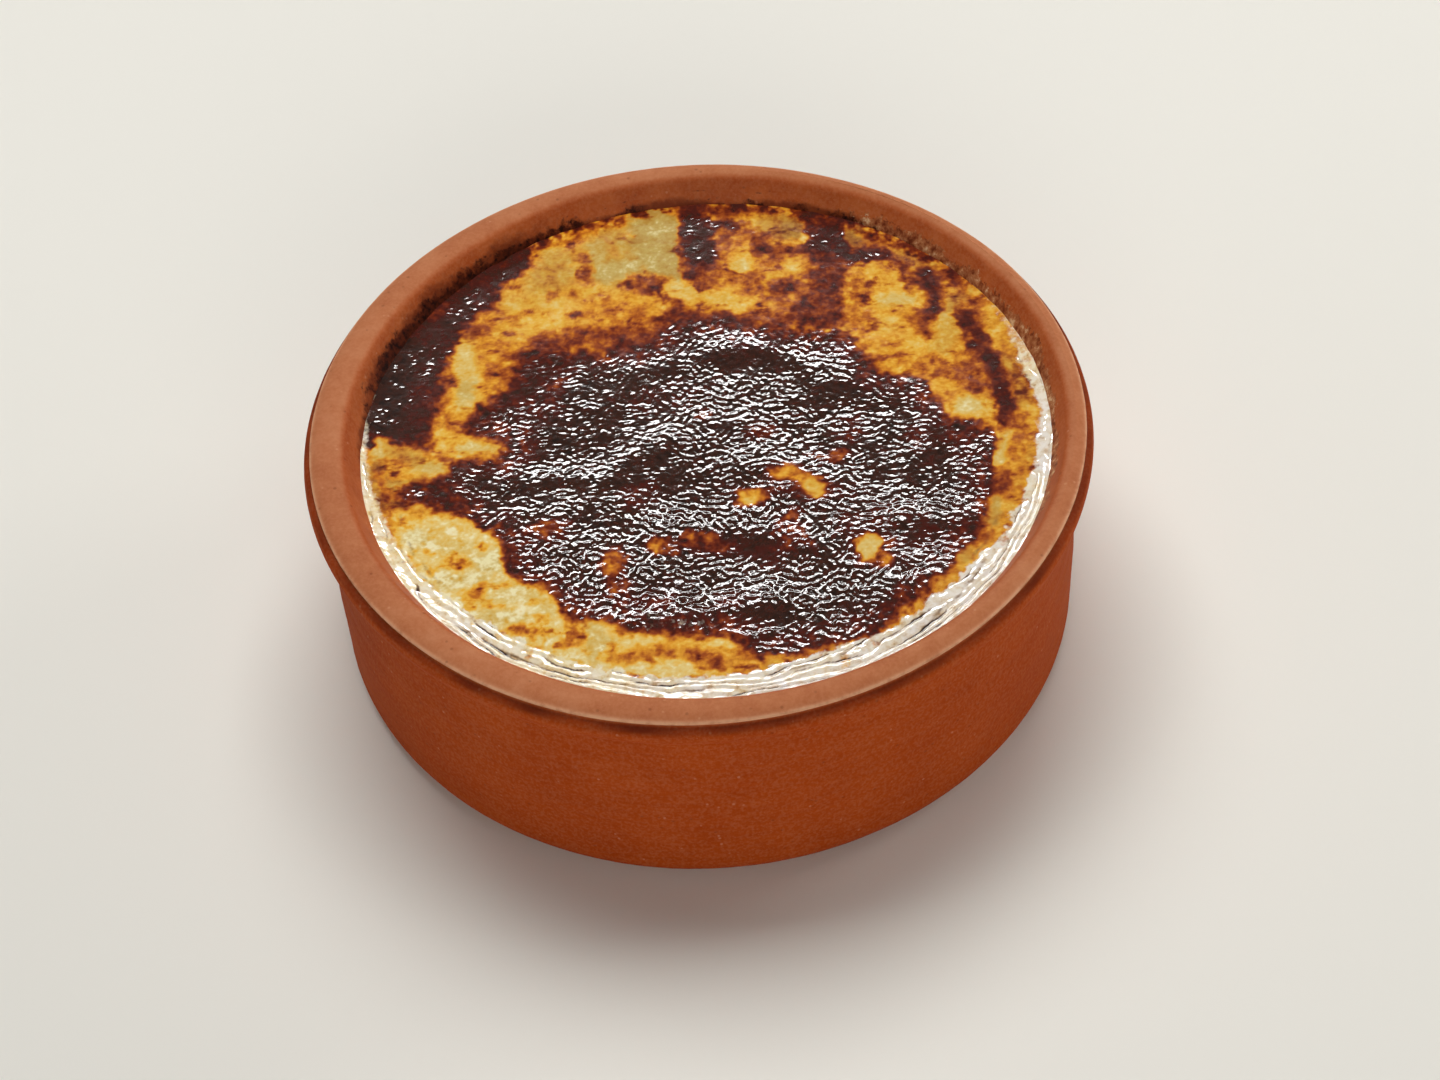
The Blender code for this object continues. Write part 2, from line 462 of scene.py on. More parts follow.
def make_dish():
    """The thrown dish: its section turned round, with finger marks, a slight wobble, a lip a little uneven in height, a
    painted highlight on the lip's outer edge and painted shade under the lip.
    """
    low, top = int(np.argmax(OUTSIDE[:, 1] > HEIGHT - 6.0)), int(np.argmax(OUTSIDE[:, 1]))
    wall = np.vstack(
        [
            resampled(OUTSIDE[: low + 1], 0.50, 1),
            resampled(OUTSIDE[low : top + 1], 0.20, 1)[1:],
            resampled(OUTSIDE[top:], 0.30, 1)[1:],
        ]
    )
    base = np.array([(0.0, 0.0), (12.0, 0.0), (30.0, 0.0), (44.0, 0.0)])
    below = resampled(INSIDE_BELOW, 5.0, 0)[1:]
    section = np.vstack([base, wall, below, [(0.0, 5.5)]])
    crest = int(np.argmax(section[:, 1]))
    n = DISH_STEPS
    angle = np.linspace(0.0, 2 * np.pi, n, endpoint=False)
    ca, sa = np.cos(angle), np.sin(angle)

    arc = np.concatenate([[0.0], np.cumsum(np.hypot(*np.diff(section, axis=0).T))])
    verts, faces, keys = [], [], {"lip": [], "inside": [], "scorch": [], "film": [], "groove": [], "stain": [], "arris_highlight": []}
    starts = []
    for i, (r, z) in enumerate(section):
        starts.append(len(verts))
        if r < 1e-6:
            verts.append((0.0 if i < crest else OPENING_SHIFT[0], 0.0 if i < crest else OPENING_SHIFT[1], z))
            for key in keys.values():
                key.append(0.0)
            continue
        inner = smooth(58.0, 55.4, r) if z > HEIGHT - 1.2 else (1.0 if i > crest else 0.0)
        shift = OPENING_SHIFT * inner
        # noise laid round the dish, so that it joins up with itself
        u, v = ca * 9.0, sa * 9.0 + arc[i] * 0.0
        ring_marks = 0.05 * math.sin(arc[i] / 0.62 + 1.3) * (0.5 + 0.5 * math.sin(arc[i] / 2.9))
        broad = layered(u * 1.0 + 40.0, v + arc[i] * 0.35, 3.2, 5, 3)
        fine = layered(ca * 60.0 + 5.0, sa * 60.0 + arc[i] * 1.7, 2.6, 9, 3)
        if i <= crest:
            stray = outer_wander(angle)
            stray = stray + (ring_marks + 0.10 * broad + 0.035 * fine) * (1.0 if z < HEIGHT - 5.5 else 0.35)
            radius = r + np.minimum(stray, -0.01) if r > 50 else np.full(n, r)
            if inner > 0:
                radius = mix(radius, r + inner_wander(angle), inner)
        else:
            radius = r + inner_wander(angle) + 0.03 * fine * (z > LEVEL - 2)
        # the lip's edge is rubbed and a little uneven in height
        lift = np.zeros(n)
        if z > HEIGHT - 8:
            up = smooth(HEIGHT - 8.0, HEIGHT - 2.0, z)
            lift = up * (-0.10 + 0.06 * np.sin(2 * angle + 1.0) + 0.04 * np.sin(5 * angle) + 0.03 * broad + 0.015 * fine)
            lift = np.minimum(lift, 0.0)
        elif z < 1.0:
            lift = np.zeros(n)
        x = shift[0] + radius * ca
        y = shift[1] + radius * sa
        height = z + lift

        # zones of colour
        top = smooth(HEIGHT - 2.2, HEIGHT - 0.7, z) if i <= crest else smooth(54.0, 55.4, r)
        inn = float(smooth(55.6, 53.9, r)) if i > crest else 0.0
        keys["lip"].extend(np.full(n, top))
        # painted shade in the undercut under the lip's sharp edge, and a fainter line of painted shade under the whole
        # lip
        sunk = math.exp(-(((z - HEIGHT + 2.15) / 0.42) ** 2)) + 0.45 * math.exp(-(((z - HEIGHT + 5.35) / 0.4) ** 2))
        # a painted highlight along the lip's outer sharp edge
        keys["arris_highlight"].extend(np.full(n, math.exp(-(((r - 58.95) / 0.36) ** 2)) * (z > HEIGHT - 1.35) if i <= crest else 0.0))
        # the painted shade is a little uneven round the dish
        keys["groove"].extend(np.full(n, sunk if i <= crest else 0.0) * (0.8 + 0.5 * noise(ca * 20, sa * 20, 2.5, 31)))
        keys["inside"].extend(np.full(n, inn))
        over = height - LEVEL  # above the skin
        deg = np.degrees(angle)
        # burnt on: strongest at the back left, and in specks along the back
        left = smooth(104, 122, deg) * smooth(178, 162, deg)
        back = 0.80 * smooth(24, 60, deg) * smooth(124, 112, deg)
        reach = 0.3 + 0.9 * left + 1.3 * noise(ca * 30, sa * 30, 3.2, 77)
        burnt = inn * np.maximum(left, back) * smooth(reach + 1.6, reach - 1.2, over)
        # a few burnt specks higher up
        high_specks = smooth(0.30, 0.62, noise(ca * 52.0, sa * 52.0 + 2.3 * z, 1.5, 79)) * smooth(4.2, 1.5, over)
        burnt = np.maximum(burnt, 0.62 * inn * np.maximum(left, back) * high_specks)
        burnt = np.maximum(burnt, 0.40 * inn * left * smooth(4.0, 0.6, over + 1.2 * noise(ca * 30, sa * 30, 5.0, 81)))
        soak = smooth(1.9, -0.3, over + 0.9 * noise(ca * 30, sa * 30, 4.0, 80))
        soak = np.maximum(soak, 0.80 * left * smooth(4.3, 0.6, over + 1.3 * noise(ca * 30, sa * 30, 5.0, 82)))
        burnt = np.maximum(burnt, 0.52 * inn * left * smooth(3.4, 0.4, over + 1.6 * noise(ca * 30, sa * 30, 3.4, 83)))
        keys["stain"].extend(inn * soak * (0.30 + 0.70 * smooth(8, 40, deg) * smooth(190, 172, deg)))
        # dried film: at the right and the back right
        right = smooth(-50, -15, np.where(deg > 180, deg - 360, deg)) * smooth(72, 50, np.where(deg > 180, deg - 360, deg))
        creep = 1.5 + 1.3 * noise(ca * 30, sa * 30, 3.0, 78)
        dried = inn * right * smooth(creep + 1.8, creep - 1.4, over)
        bits = dried * np.maximum(0.0, layered(ca * 52.0, sa * 52.0 + 2.0 * z, 1.5, 21, 2)) * 0.04
        x = x - bits * ca
        y = y - bits * sa
        keys["scorch"].extend(burnt)
        keys["film"].extend(dried)
        verts.extend(zip(x, y, height))

    for i in range(len(section) - 1):
        a, b = starts[i], starts[i + 1]
        single_a, single_b = section[i, 0] < 1e-6, section[i + 1, 0] < 1e-6
        for k in range(n):
            m = (k + 1) % n
            if single_a:
                faces.append((a, b + m, b + k))
            elif single_b:
                faces.append((a + k, a + m, b))
            else:
                faces.append((a + k, a + m, b + m, b + k))
    fields = {key: np.array(values) for key, values in keys.items()}
    return make_object("dish_thrown", np.array(verts), faces, fields, terracotta(), "dish")


# ---------------------------------------------------------------- the skin's browning, laid out
# How brown: 0 pale cream, 0.3 golden, 0.45 amber, 0.6 red-brown, 0.9 burnt, 1 black.
CENTRE_SCORCH = [
    (-38, -1.5), (-35, -0.8), (-31, -1.2), (-28.5, 0.8), (-28.8, 3.6), (-32, 4.4), (-35, 5.2), (-34.6, 8.4), (-33, 10.6),
    (-30.5, 12.4), (-28.2, 13.6), (-27.6, 17), (-27.2, 20.4), (-25, 21.6), (-21, 22), (-18.6, 20.6), (-15.5, 20.4),
    (-10, 20.6), (-7.6, 21.2), (-5, 23), (-4, 25.6), (0, 26.2), (5, 25.4), (9, 23.6), (12, 23.8), (16, 22.6), (20, 22),
    (24, 20.6), (26, 18), (27.4, 14.4), (28.2, 11.8), (32, 11), (35, 10.4), (36, 7), (37, 4), (38.6, 1.2), (42, 0),
    (44.6, -1), (44.6, -6), (43.6, -12), (42.4, -17), (41, -22), (38, -26), (34, -31), (30, -35), (26, -39), (22, -41),
    (17, -42.2), (13, -43.4), (7, -43.4), (5.4, -41), (2, -39.6), (-3, -38.6), (-9, -38), (-13, -36), (-19, -34.4),
    (-21, -31.6), (-22.4, -29), (-26, -26), (-29, -23.4), (-29.6, -19), (-32, -15.6), (-35, -12), (-40, -10),
    (-44, -9.4), (-45.4, -5.6), (-40, -4.6), (-38.4, -3),
]  # fmt: skip
GOLD_BACK_LEFT = [
    (-38.4, 28.2), (-36, 28.8), (-33.6, 27.8), (-33, 25.2), (-31.4, 25), (-30.8, 29), (-30.4, 33), (-29.4, 36.6),
    (-25.4, 39.2), (-23.8, 43), (-21.6, 45.2), (-17, 46), (-14.4, 48), (-9.6, 49.4), (-5, 51.6), (-1.4, 51.6),
    (-1.2, 36.2), (4, 34.8), (9, 31), (13, 28), (11.4, 25.6), (4, 27.6), (-2, 30), (-4.2, 27), (-5.4, 24), (-9, 23.8),
    (-11, 26), (-16, 26.8), (-20, 26.4), (-22, 24.4), (-26, 24.4), (-28.2, 22), (-28.8, 16), (-29.6, 13), (-32.6, 10.4),
    (-35, 8.4), (-35.4, 5), (-30, 3.2), (-29.6, 0.4), (-36, 0.4), (-40.2, 1.8), (-40.2, 6), (-38.9, 12), (-38.9, 20),
]  # fmt: skip
PALE_FRONT_LEFT = [
    (-46.6, -9.6), (-44, -11.4), (-40, -11.4), (-36, -11.8), (-33, -15), (-30.4, -19), (-29.6, -24), (-26, -26.4),
    (-22.6, -29), (-21.2, -34), (-14.4, -34.8), (-12.6, -38), (-6, -38.8), (-1, -39.6), (5, -41.6), (6.6, -44.6),
    (2, -47), (-6, -46.8), (-14, -45.6), (-22, -43), (-29, -39), (-34, -35), (-39, -30), (-43, -23), (-46, -16),
]  # fmt: skip


def browning(x, y):
    """How brown the skin is at each place, how green or orange its golds are (-1 to 1), and how crinkled it is."""
    # edges are as ragged as the skin's own wrinkles
    wx = x + 1.1 * layered(x, y, 5.0, 101, 4, 0.6) + 0.35 * noise(x, y, 1.1, 131)
    wy = y + 1.1 * layered(x, y, 5.0, 102, 4, 0.6) + 0.35 * noise(x, y, 1.1, 132)
    b = 0.36 + 0.08 * layered(x, y, 9.0, 103, 4, 0.6)
    hue = 0.2 + 0.3 * layered(x, y, 12.0, 104, 3) + 0.3 * layered(x, y, 3.2, 105, 2)

    ragged = 0.8 * noise(x, y, 1.9, 133) + 0.5 * noise(x, y, 0.9, 134)
    spread = np.clip(0.85 + 0.6 * noise(x, y, 6.0, 135), 0.5, 1.5)

    def paint(distance, value, soft=1.2, share=1.0, tint=None):
        nonlocal b, hue
        wide = soft * spread
        m = share * smooth(wide, -wide, distance + ragged * min(1.0, 0.6 * soft))
        b = mix(b, value, m)
        if tint is not None:
            hue = mix(hue, tint, m)

    def ell(cx, cy, rx, ry, turn=0.0):
        return blot(wx, wy, cx, cy, rx, ry, turn)

    def line(radius, *points):
        return streak(wx, wy, radius, *points)

    # -- back left: a golden field with a pale, slightly green heart, and its column down the left
    gold = outline(wx, wy, GOLD_BACK_LEFT)
    paint(gold - 1.6, 0.50, 1.4, 0.9, 0.5)
    paint(gold, 0.31, 1.3, 1.0, 0.15)
    paint(line((3.4, 2.6), (-13, 30), (-8, 28.6), (-6, 25.4)), 0.42, 2.0, 0.9, 0.7)
    paint(line((2.0, 2.4), (-31, 23.4), (-30.6, 15)), 0.42, 1.6, 0.9, 0.6)
    paint(line((1.6, 1.2), (-28.6, 21), (-28.8, 12)), 0.55, 1.6, 0.8, 0.5)
    paint(ell(-11.5, 41.5, 6.0, 6.0), 0.20, 2.4, 0.9, -0.45)
    paint(line((4.0, 2.4), (-4.6, 49), (-4.4, 42), (-3.0, 37.6)), 0.15, 1.6, 0.95, -0.9)
    paint(ell(-10.6, 38.6, 3.6, 2.6, 10), 0.13, 1.8, 0.85, -0.6)
    paint(ell(-12.0, 48.0, 3.4, 1.6, 15), 0.30, 1.4, 0.85, -0.3)
    paint(ell(-20.5, 42.6, 3.2, 2.2), 0.27, 1.8, 0.8, -0.3)
    paint(ell(-21.5, 38.0, 4.6, 3.4, 20), 0.33, 2.0, 0.7, -0.4)
    paint(ell(-24.0, 33.0, 4.4, 2.0), 0.25, 1.8, 0.85, 0.0)
    paint(ell(-28.4, 33.4, 2.0, 2.2), 0.24, 1.4, 0.7, 0.0)
    paint(ell(-15.0, 34.0, 3.8, 2.0), 0.24, 1.8, 0.85, 0.1)
    paint(ell(-22.5, 29.0, 5.0, 2.0, 15), 0.27, 1.8, 0.85, 0.3)
    paint(line((1.0, 1.2), (-16.2, 43.4), (-16.2, 41.6)), 0.54, 1.2, 0.9, 0.2)
    paint(line((1.3, 0.9), (-15.9, 40.0), (-16.6, 37.8), (-15.8, 36.0)), 0.56, 1.2, 0.95, 0.2)
    paint(line((0.9, 1.2), (-11.6, 45.0), (-10.8, 42.6)), 0.47, 1.2, 0.85, -0.1)
    paint(line((0.7, 0.6), (-21.8, 34.4), (-17.8, 33.8)), 0.50, 1.0, 0.8, 0.2)
    paint(line(0.7, (-28.4, 29.6), (-25.6, 30.6)), 0.50, 1.0, 0.8, 0.3)
    paint(ell(-12.4, 31.4, 1.2, 1.0), 0.50, 1.0, 0.75, 0.3)
    paint(ell(-24.0, 23.6, 2.2, 1.2), 0.56, 1.2, 0.9, 0.5)
    paint(line((1.6, 1.9), (-8.4, 35.8), (-5.0, 34.6)), 0.68, 1.2, 0.97, 0.7)
    paint(line((1.0, 1.0), (-5.0, 34.4), (-3.4, 31.6), (-1.6, 29.8)), 0.66, 1.0, 0.95, 0.6)
    paint(line((1.0, 1.0), (-8.4, 36.2), (-3.2, 36.2)), 0.50, 1.0, 0.6, 0.5)
    # the light streak that crosses from the field's corner
    paint(line((1.9, 2.2), (-2.4, 33.6), (3, 32.6), (9, 29.0)), 0.24, 1.3, 0.97, 0.15)
    paint(line((1.1, 1.1), (-1.6, 34.0), (3, 32.8), (6, 31.0)), 0.17, 1.2, 0.8, 0.0)
    paint(ell(8.4, 27.2, 3.6, 1.5, -10), 0.30, 1.4, 0.85, 0.3)
    # the column's pale middle
    paint(line((1.9, 1.7), (-35.4, 25.4), (-35.4, 16.0), (-35.2, 11.6)), 0.19, 1.4, 0.92, 0.0)
    paint(ell(-35.3, 14.2, 1.4, 2.6), 0.13, 1.2, 0.8, -0.4)
    paint(line((1.0, 1.0), (-38.4, 19.0), (-38.2, 9.0)), 0.52, 1.2, 0.8, 0.6)
    paint(ell(-37.0, 7.4, 1.9, 2.2), 0.44, 1.4, 0.85, 0.4)
    paint(line((1.8, 1.4), (-38.4, 4.2), (-35.8, 2.6)), 0.26, 1.3, 0.9, 0.3)
    paint(line((1.1, 1.2), (-35.8, 1.6), (-31.0, 1.8)), 0.13, 1.2, 0.9, -0.1)
    paint(ell(-34.0, 26.8, 1.4, 1.6), 0.66, 1.2, 0.85)

    # -- the fringe behind the scorch: red-brown, with a golden bead
    paint(line((2.0, 1.8), (-22, 23.4), (-15, 24.2), (-11, 24.2)), 0.66, 1.4, 0.92, 0.8)
    paint(line((2.0, 2.2), (-12, 22.6), (-8.6, 23.6), (-5.6, 24.0)), 0.66, 1.4, 0.9, 0.8)
    paint(ell(-16.8, 21.8, 1.9, 1.2), 0.46, 1.1, 0.9, 0.6)
    paint(line((1.3, 1.6), (-5, 26.6), (-2.4, 27.6), (3, 26.8), (9, 25.2)), 0.72, 1.2, 0.92, 0.6)
    paint(line((2.0, 3.2), (10, 25.0), (16, 25.4), (20, 25.6)), 0.57, 1.6, 0.94, 0.6)

    # -- the back: dark scorches either side of two golden spots
    paint(line((2.6, 3.4), (1.8, 51.6), (1.8, 42), (2.6, 37)), 0.70, 1.4, 0.97, 0.6)
    paint(line((2.0, 2.4), (2.0, 50.4), (2.2, 44.6), (2.6, 41.4)), 0.84, 1.4, 0.95)
    paint(line((1.7, 1.3), (4.6, 47.6), (9.4, 46.8)), 0.80, 1.2, 0.92)
    paint(line((1.2, 1.0), (4, 51.2), (12, 50.8)), 0.64, 1.2, 0.8)
    paint(ell(6.8, 50.0, 2.4, 1.2), 0.52, 1.2, 0.7, 0.3)
    paint(line((2.6, 3.0), (9.6, 44.0), (8.6, 38.0)), 0.46, 1.6, 0.95, 0.6)
    paint(line((1.2, 1.0), (5.6, 44.8), (6.4, 42.4)), 0.60, 1.2, 0.7, 0.7)
    paint(line((1.2, 2.0), (9.6, 41.6), (8.8, 38.4)), 0.29, 1.2, 0.92, 0.2)
    paint(ell(8.4, 37.8, 1.9, 1.6), 0.18, 1.1, 0.9, 0.0)
    paint(line((2.6, 2.2), (3.6, 35.6), (8.4, 33.8)), 0.48, 1.6, 0.7, 0.6)
    paint(ell(15.4, 46.6, 4.2, 3.2, -8), 0.44, 1.6, 0.95, -0.3)
    paint(ell(13.2, 46.8, 1.5, 1.8), 0.36, 1.2, 0.8, -0.2)
    paint(ell(17.4, 45.8, 1.5, 2.2), 0.34, 1.2, 0.85, -0.6)
    paint(ell(18.8, 43.4, 0.8, 0.9), 0.14, 0.7, 0.9, 0.2)
    paint(line((1.4, 1.4), (11.8, 41.4), (15.0, 40.8), (18.6, 40.6)), 0.68, 1.3, 0.92, 0.4)
    paint(ell(12.0, 43.6, 1.4, 1.6), 0.62, 1.2, 0.75, 0.5)
    paint(line((1.9, 1.5), (13.2, 35.8), (16.0, 36.8), (19.8, 36.8)), 0.30, 1.3, 0.95, 0.2)
    paint(ell(16.0, 36.6, 2.2, 0.9), 0.22, 1.0, 0.8, 0.2)
    paint(ell(13.2, 38.6, 1.5, 1.3), 0.50, 1.2, 0.7, 0.5)
    paint(line((1.6, 1.6), (10.6, 35.4), (10.8, 32.6)), 0.50, 1.3, 0.85, 0.7)
    paint(ell(12.0, 29.2, 2.4, 1.9), 0.44, 1.5, 0.9, 0.9)
    paint(ell(15.6, 32.4, 2.8, 1.9), 0.69, 1.4, 0.9, 0.6)
    paint(ell(16.0, 28.6, 2.6, 1.6), 0.58, 1.4, 0.8, 0.7)
    paint(ell(17.4, 29.8, 1.1, 0.9), 0.44, 0.9, 0.9, 0.7)
    # the second scorch, wine-dark, with its arm to the right
    paint(line((3.8, 3.4), (22.6, 48.2), (23.2, 42.0), (23.4, 39.0)), 0.76, 1.5, 0.97, 0.6)
    paint(ell(23.2, 42.6, 2.6, 3.2), 0.83, 1.5, 0.9, 0.7)
    paint(ell(21.4, 47.2, 2.0, 1.4), 0.60, 1.3, 0.6)
    paint(line((3.2, 3.6), (22.6, 37.4), (21.6, 31.6), (21.4, 26.0)), 0.68, 1.8, 0.95, 0.6)
    paint(line((1.8, 1.3), (25.4, 38.8), (31.8, 38.4)), 0.80, 1.2, 0.95, 0.6)
    paint(line((0.9, 1.0), (27.0, 44.6), (27.0, 41.6)), 0.44, 1.0, 0.9, -0.6)
    paint(ell(29.4, 42.0, 1.3, 1.8), 0.72, 1.2, 0.8)
    paint(line((1.2, 1.0), (32.0, 38.0), (33.8, 34.6), (33.8, 31.0)), 0.74, 1.1, 0.95, 0.6)
    paint(line((1.7, 1.5), (34.6, 38.2), (37.6, 36.0), (39.6, 33.0)), 0.42, 1.2, 0.9, -0.2)
    paint(line(0.35, (35.4, 38.6), (38.2, 36.2)), 0.80, 0.6, 0.8)

    # -- right: a golden field, its edges orange, then dark seams and strips of gold
    paint(ell(30.4, 22.4, 5.6, 12.0, 8), 0.38, 2.0, 0.97, 0.55)
    paint(line((3.0, 4.6), (29.6, 33.4), (31.0, 27.0), (31.6, 18.0)), 0.31, 1.6, 0.95, 0.3)
    paint(ell(27.0, 30.6, 2.0, 3.0), 0.45, 1.5, 0.85, 0.8)
    paint(ell(26.6, 24.0, 1.8, 3.4), 0.46, 1.5, 0.85, 0.8)
    paint(ell(29.0, 34.6, 0.9, 0.8), 0.20, 0.8, 0.8, 0.2)
    paint(ell(32.2, 28.0, 3.0, 1.6, 6), 0.15, 1.3, 0.95, -0.1)
    paint(ell(30.6, 22.6, 2.6, 1.8), 0.25, 1.5, 0.85, 0.1)
    paint(ell(33.6, 18.4, 2.8, 2.6, 20), 0.26, 1.6, 0.85, 0.2)
    paint(ell(29.4, 16.4, 1.6, 2.2), 0.31, 1.3, 0.8, 0.2)
    paint(ell(31.0, 18.2, 1.8, 0.7), 0.42, 1.0, 0.7, 0.3)
    paint(line((1.5, 1.6), (29.0, 13.2), (34.6, 13.2)), 0.45, 1.3, 0.9, 0.9)
    paint(line((2.0, 1.2), (36.2, 23.4), (36.4, 20.6)), 0.62, 1.3, 0.92, 0.7)
    paint(line((1.8, 1.6), (37.6, 33.0), (38.6, 29.0), (38.8, 24.6)), 0.76, 1.2, 0.97, 0.7)
    paint(ell(36.8, 27.0, 0.7, 2.2), 0.48, 0.9, 0.8, 0.7)
    paint(line((1.7, 1.6), (43.4, 31.6), (42.4, 27.6), (40.6, 23.6)), 0.36, 1.2, 0.92, -0.3)
    paint(line((1.5, 1.4), (40.4, 22.6), (39.8, 19.0), (38.6, 15.6)), 0.22, 1.1, 0.92, -0.1)
    paint(ell(44.0, 25.0, 1.6, 2.4), 0.54, 1.2, 0.85, 0.7)
    paint(line((1.7, 2.0), (42.6, 23.4), (44.2, 18.6), (45.0, 14.0)), 0.72, 1.3, 0.95, 0.8)
    paint(line((1.3, 1.3), (40.6, 33.4), (42.6, 30.0)), 0.62, 1.2, 0.85, 0.5)
    paint(line((1.4, 1.2), (37.6, 13.4), (38.0, 10.0)), 0.52, 1.2, 0.85, 0.8)
    paint(line((1.3, 1.2), (41.2, 14.4), (44.2, 13.8), (44.6, 11.4)), 0.46, 1.2, 0.85, 0.7)
    paint(line((1.6, 2.2), (41.8, 11.6), (42.6, 8.4)), 0.62, 1.3, 0.92, 0.7)
    paint(line((1.5, 1.7), (37.4, 8.4), (38.0, 5.8)), 0.33, 1.2, 0.92, 0.4)
    paint(line((1.6, 1.9), (45.8, 13.4), (46.8, 8.0), (47.2, 3.6), (47.4, -0.4)), 0.76, 1.2, 0.97, 0.8)
    paint(ell(42.0, 3.4, 3.6, 2.6), 0.25, 1.3, 0.95, 0.1)
    paint(ell(41.6, 3.8, 1.9, 1.5), 0.10, 1.0, 0.9, -0.1)
    paint(line((1.4, 1.0), (48.4, 13.0), (49.4, 9.0), (49.8, 4.0)), 0.42, 1.0, 0.85, -0.2)

    # -- left: golds beside the wall, and the burnt wall itself
    paint(line((5.4, 3.6), (-46.4, 7.4), (-45.2, 14.0), (-43.4, 21.0), (-39.0, 31.4), (-33.6, 38.6), (-28.0, 43.2)), 0.84, 1.3, 0.98, 0.6)
    paint(line((0.9, 1.2), (-45.0, 22.0), (-41.6, 28.6), (-38.4, 34.0), (-34.6, 39.4)), 0.70, 1.8, 0.8, 0.7)
    paint(line((2.0, 2.0), (-42.0, 28.0), (-37.0, 35.6), (-31.0, 41.0)), 0.78, 2.0, 0.8, 0.6)
    paint(line((2.4, 2.2), (-48.0, 8.0), (-46.8, 16.0), (-43.6, 25.0)), 0.94, 1.6, 0.8)
    paint(line((1.6, 2.6), (-40.8, 26), (-36.4, 31.0), (-32.4, 34.0)), 0.84, 1.4, 0.9)
    paint(line((1.6, 1.2), (-40.4, 15.0), (-41.0, 9.0)), 0.72, 1.4, 0.85, 0.6)
    paint(line((2.2, 2.0), (-42.6, 3.8), (-44.4, 2.2)), 0.70, 1.4, 0.9, 0.6)
    paint(ell(-46.0, -3.6, 5.0, 6.6, -15), 0.42, 1.6, 0.85, -0.5)
    paint(line((0.8, 1.0), (-48.4, 4.6), (-45.6, 2.2), (-42.6, 1.4)), 0.24, 1.1, 0.9, -0.2)
    paint(line((1.1, 1.4), (-48.6, 2.2), (-46.0, -0.6), (-42.0, -2.0), (-39.4, -1.8)), 0.14, 1.2, 0.95, -0.2)
    paint(line((0.7, 0.9), (-47.6, 0.4), (-44.4, -1.0)), 0.56, 1.0, 0.8, 0.4)
    paint(line((0.8, 1.0), (-48.2, -4.6), (-44.2, -5.2)), 0.20, 1.1, 0.9, -0.3)
    paint(line((0.8, 0.8), (-47.4, -6.8), (-43.6, -7.6)), 0.60, 1.1, 0.85, 0.5)
    paint(line((1.3, 1.0), (-46.6, -2.6), (-42.6, -3.0)), 0.33, 1.2, 0.9, 0.4)
    paint(line((0.8, 0.8), (-48.8, -2.4), (-47.4, -7.0)), 0.52, 1.1, 0.8, 0.4)

    # -- front left: the palest skin
    pale = outline(wx, wy, PALE_FRONT_LEFT)
    paint(pale - 0.8, 0.48, 1.2, 0.6, 0.4)
    paint(pale, 0.13, 1.2, 1.0, 0.2)
    paint(line((1.8, 2.4), (-42.6, -15.6), (-38, -18.4), (-32, -21.6)), 0.12, 1.6, 0.8, -0.1)
    paint(ell(-31.8, -22.0, 1.8, 2.8), 0.03, 1.3, 0.9, -0.4)
    paint(ell(-43.0, -16.0, 1.6, 1.4), 0.04, 1.1, 0.8, -0.4)
    paint(line((1.6, 1.4), (-39.0, -24.6), (-34.0, -25.0)), 0.08, 1.3, 0.8, -0.3)
    paint(line((1.8, 1.6), (-32.0, -33.0), (-28.0, -33.4)), 0.08, 1.3, 0.8, -0.3)
    paint(line((2.0, 2.2), (-32.0, -28.0), (-27.0, -28.4), (-24.4, -31.6)), 0.09, 1.5, 0.85, -0.1)
    paint(ell(-43.4, -12.4, 2.2, 1.0, -10), 0.42, 1.2, 0.85, 0.5)
    paint(ell(-36.8, -15.0, 1.3, 0.9), 0.30, 1.0, 0.8, 0.2)
    paint(ell(-37.0, -21.2, 1.9, 1.6), 0.40, 1.2, 0.95, 0.4)
    paint(ell(-37.0, -21.2, 0.8, 0.7), 0.52, 0.8, 0.8, 0.4)
    paint(ell(-34.0, -27.6, 2.4, 1.3, 10), 0.42, 1.2, 0.92, 0.4)
    paint(ell(-35.0, -30.6, 1.3, 1.0), 0.45, 1.0, 0.7, 0.3)
    paint(ell(-26.4, -31.0, 2.2, 0.8, 30), 0.32, 1.2, 0.7, 0.4)
    paint(ell(-27.0, -36.0, 2.2, 1.3, -12), 0.58, 1.2, 0.92, 0.8)
    paint(ell(-23.6, -37.4, 1.6, 1.6), 0.30, 1.2, 0.8, 0.2)
    paint(line((1.3, 1.5), (-19.8, -34.6), (-20.0, -37.4)), 0.60, 1.2, 0.92, 0.8)
    paint(ell(-20.6, -38.6, 2.0, 1.3), 0.48, 1.2, 0.9, 0.8)
    paint(ell(-17.6, -37.6, 1.2, 1.1), 0.50, 1.0, 0.8, 0.8)
    paint(line((1.6, 1.6), (-17.4, -35.8), (-15.6, -39.4), (-16.2, -41.6)), 0.13, 1.3, 0.85, -0.2)
    paint(ell(-13.0, -37.4, 1.3, 1.0), 0.54, 1.0, 0.85, 0.7)
    for cx, cy, rx, ry, value in (
        (-41.0, -18.8, 1.0, 0.7, 0.40), (-33.2, -18.6, 0.9, 0.8, 0.42), (-29.6, -26.4, 0.8, 0.6, 0.46), (-31.4, -30.6, 1.1, 0.7, 0.44),
        (-24.6, -33.6, 1.0, 0.8, 0.46), (-30.0, -36.0, 1.0, 0.7, 0.48), (-25.4, -39.4, 1.0, 0.7, 0.50), (-40.6, -23.4, 0.8, 0.6, 0.40),
    ):  # fmt: skip
        paint(ell(cx, cy, rx, ry), value, 0.9, 0.85, 0.6)
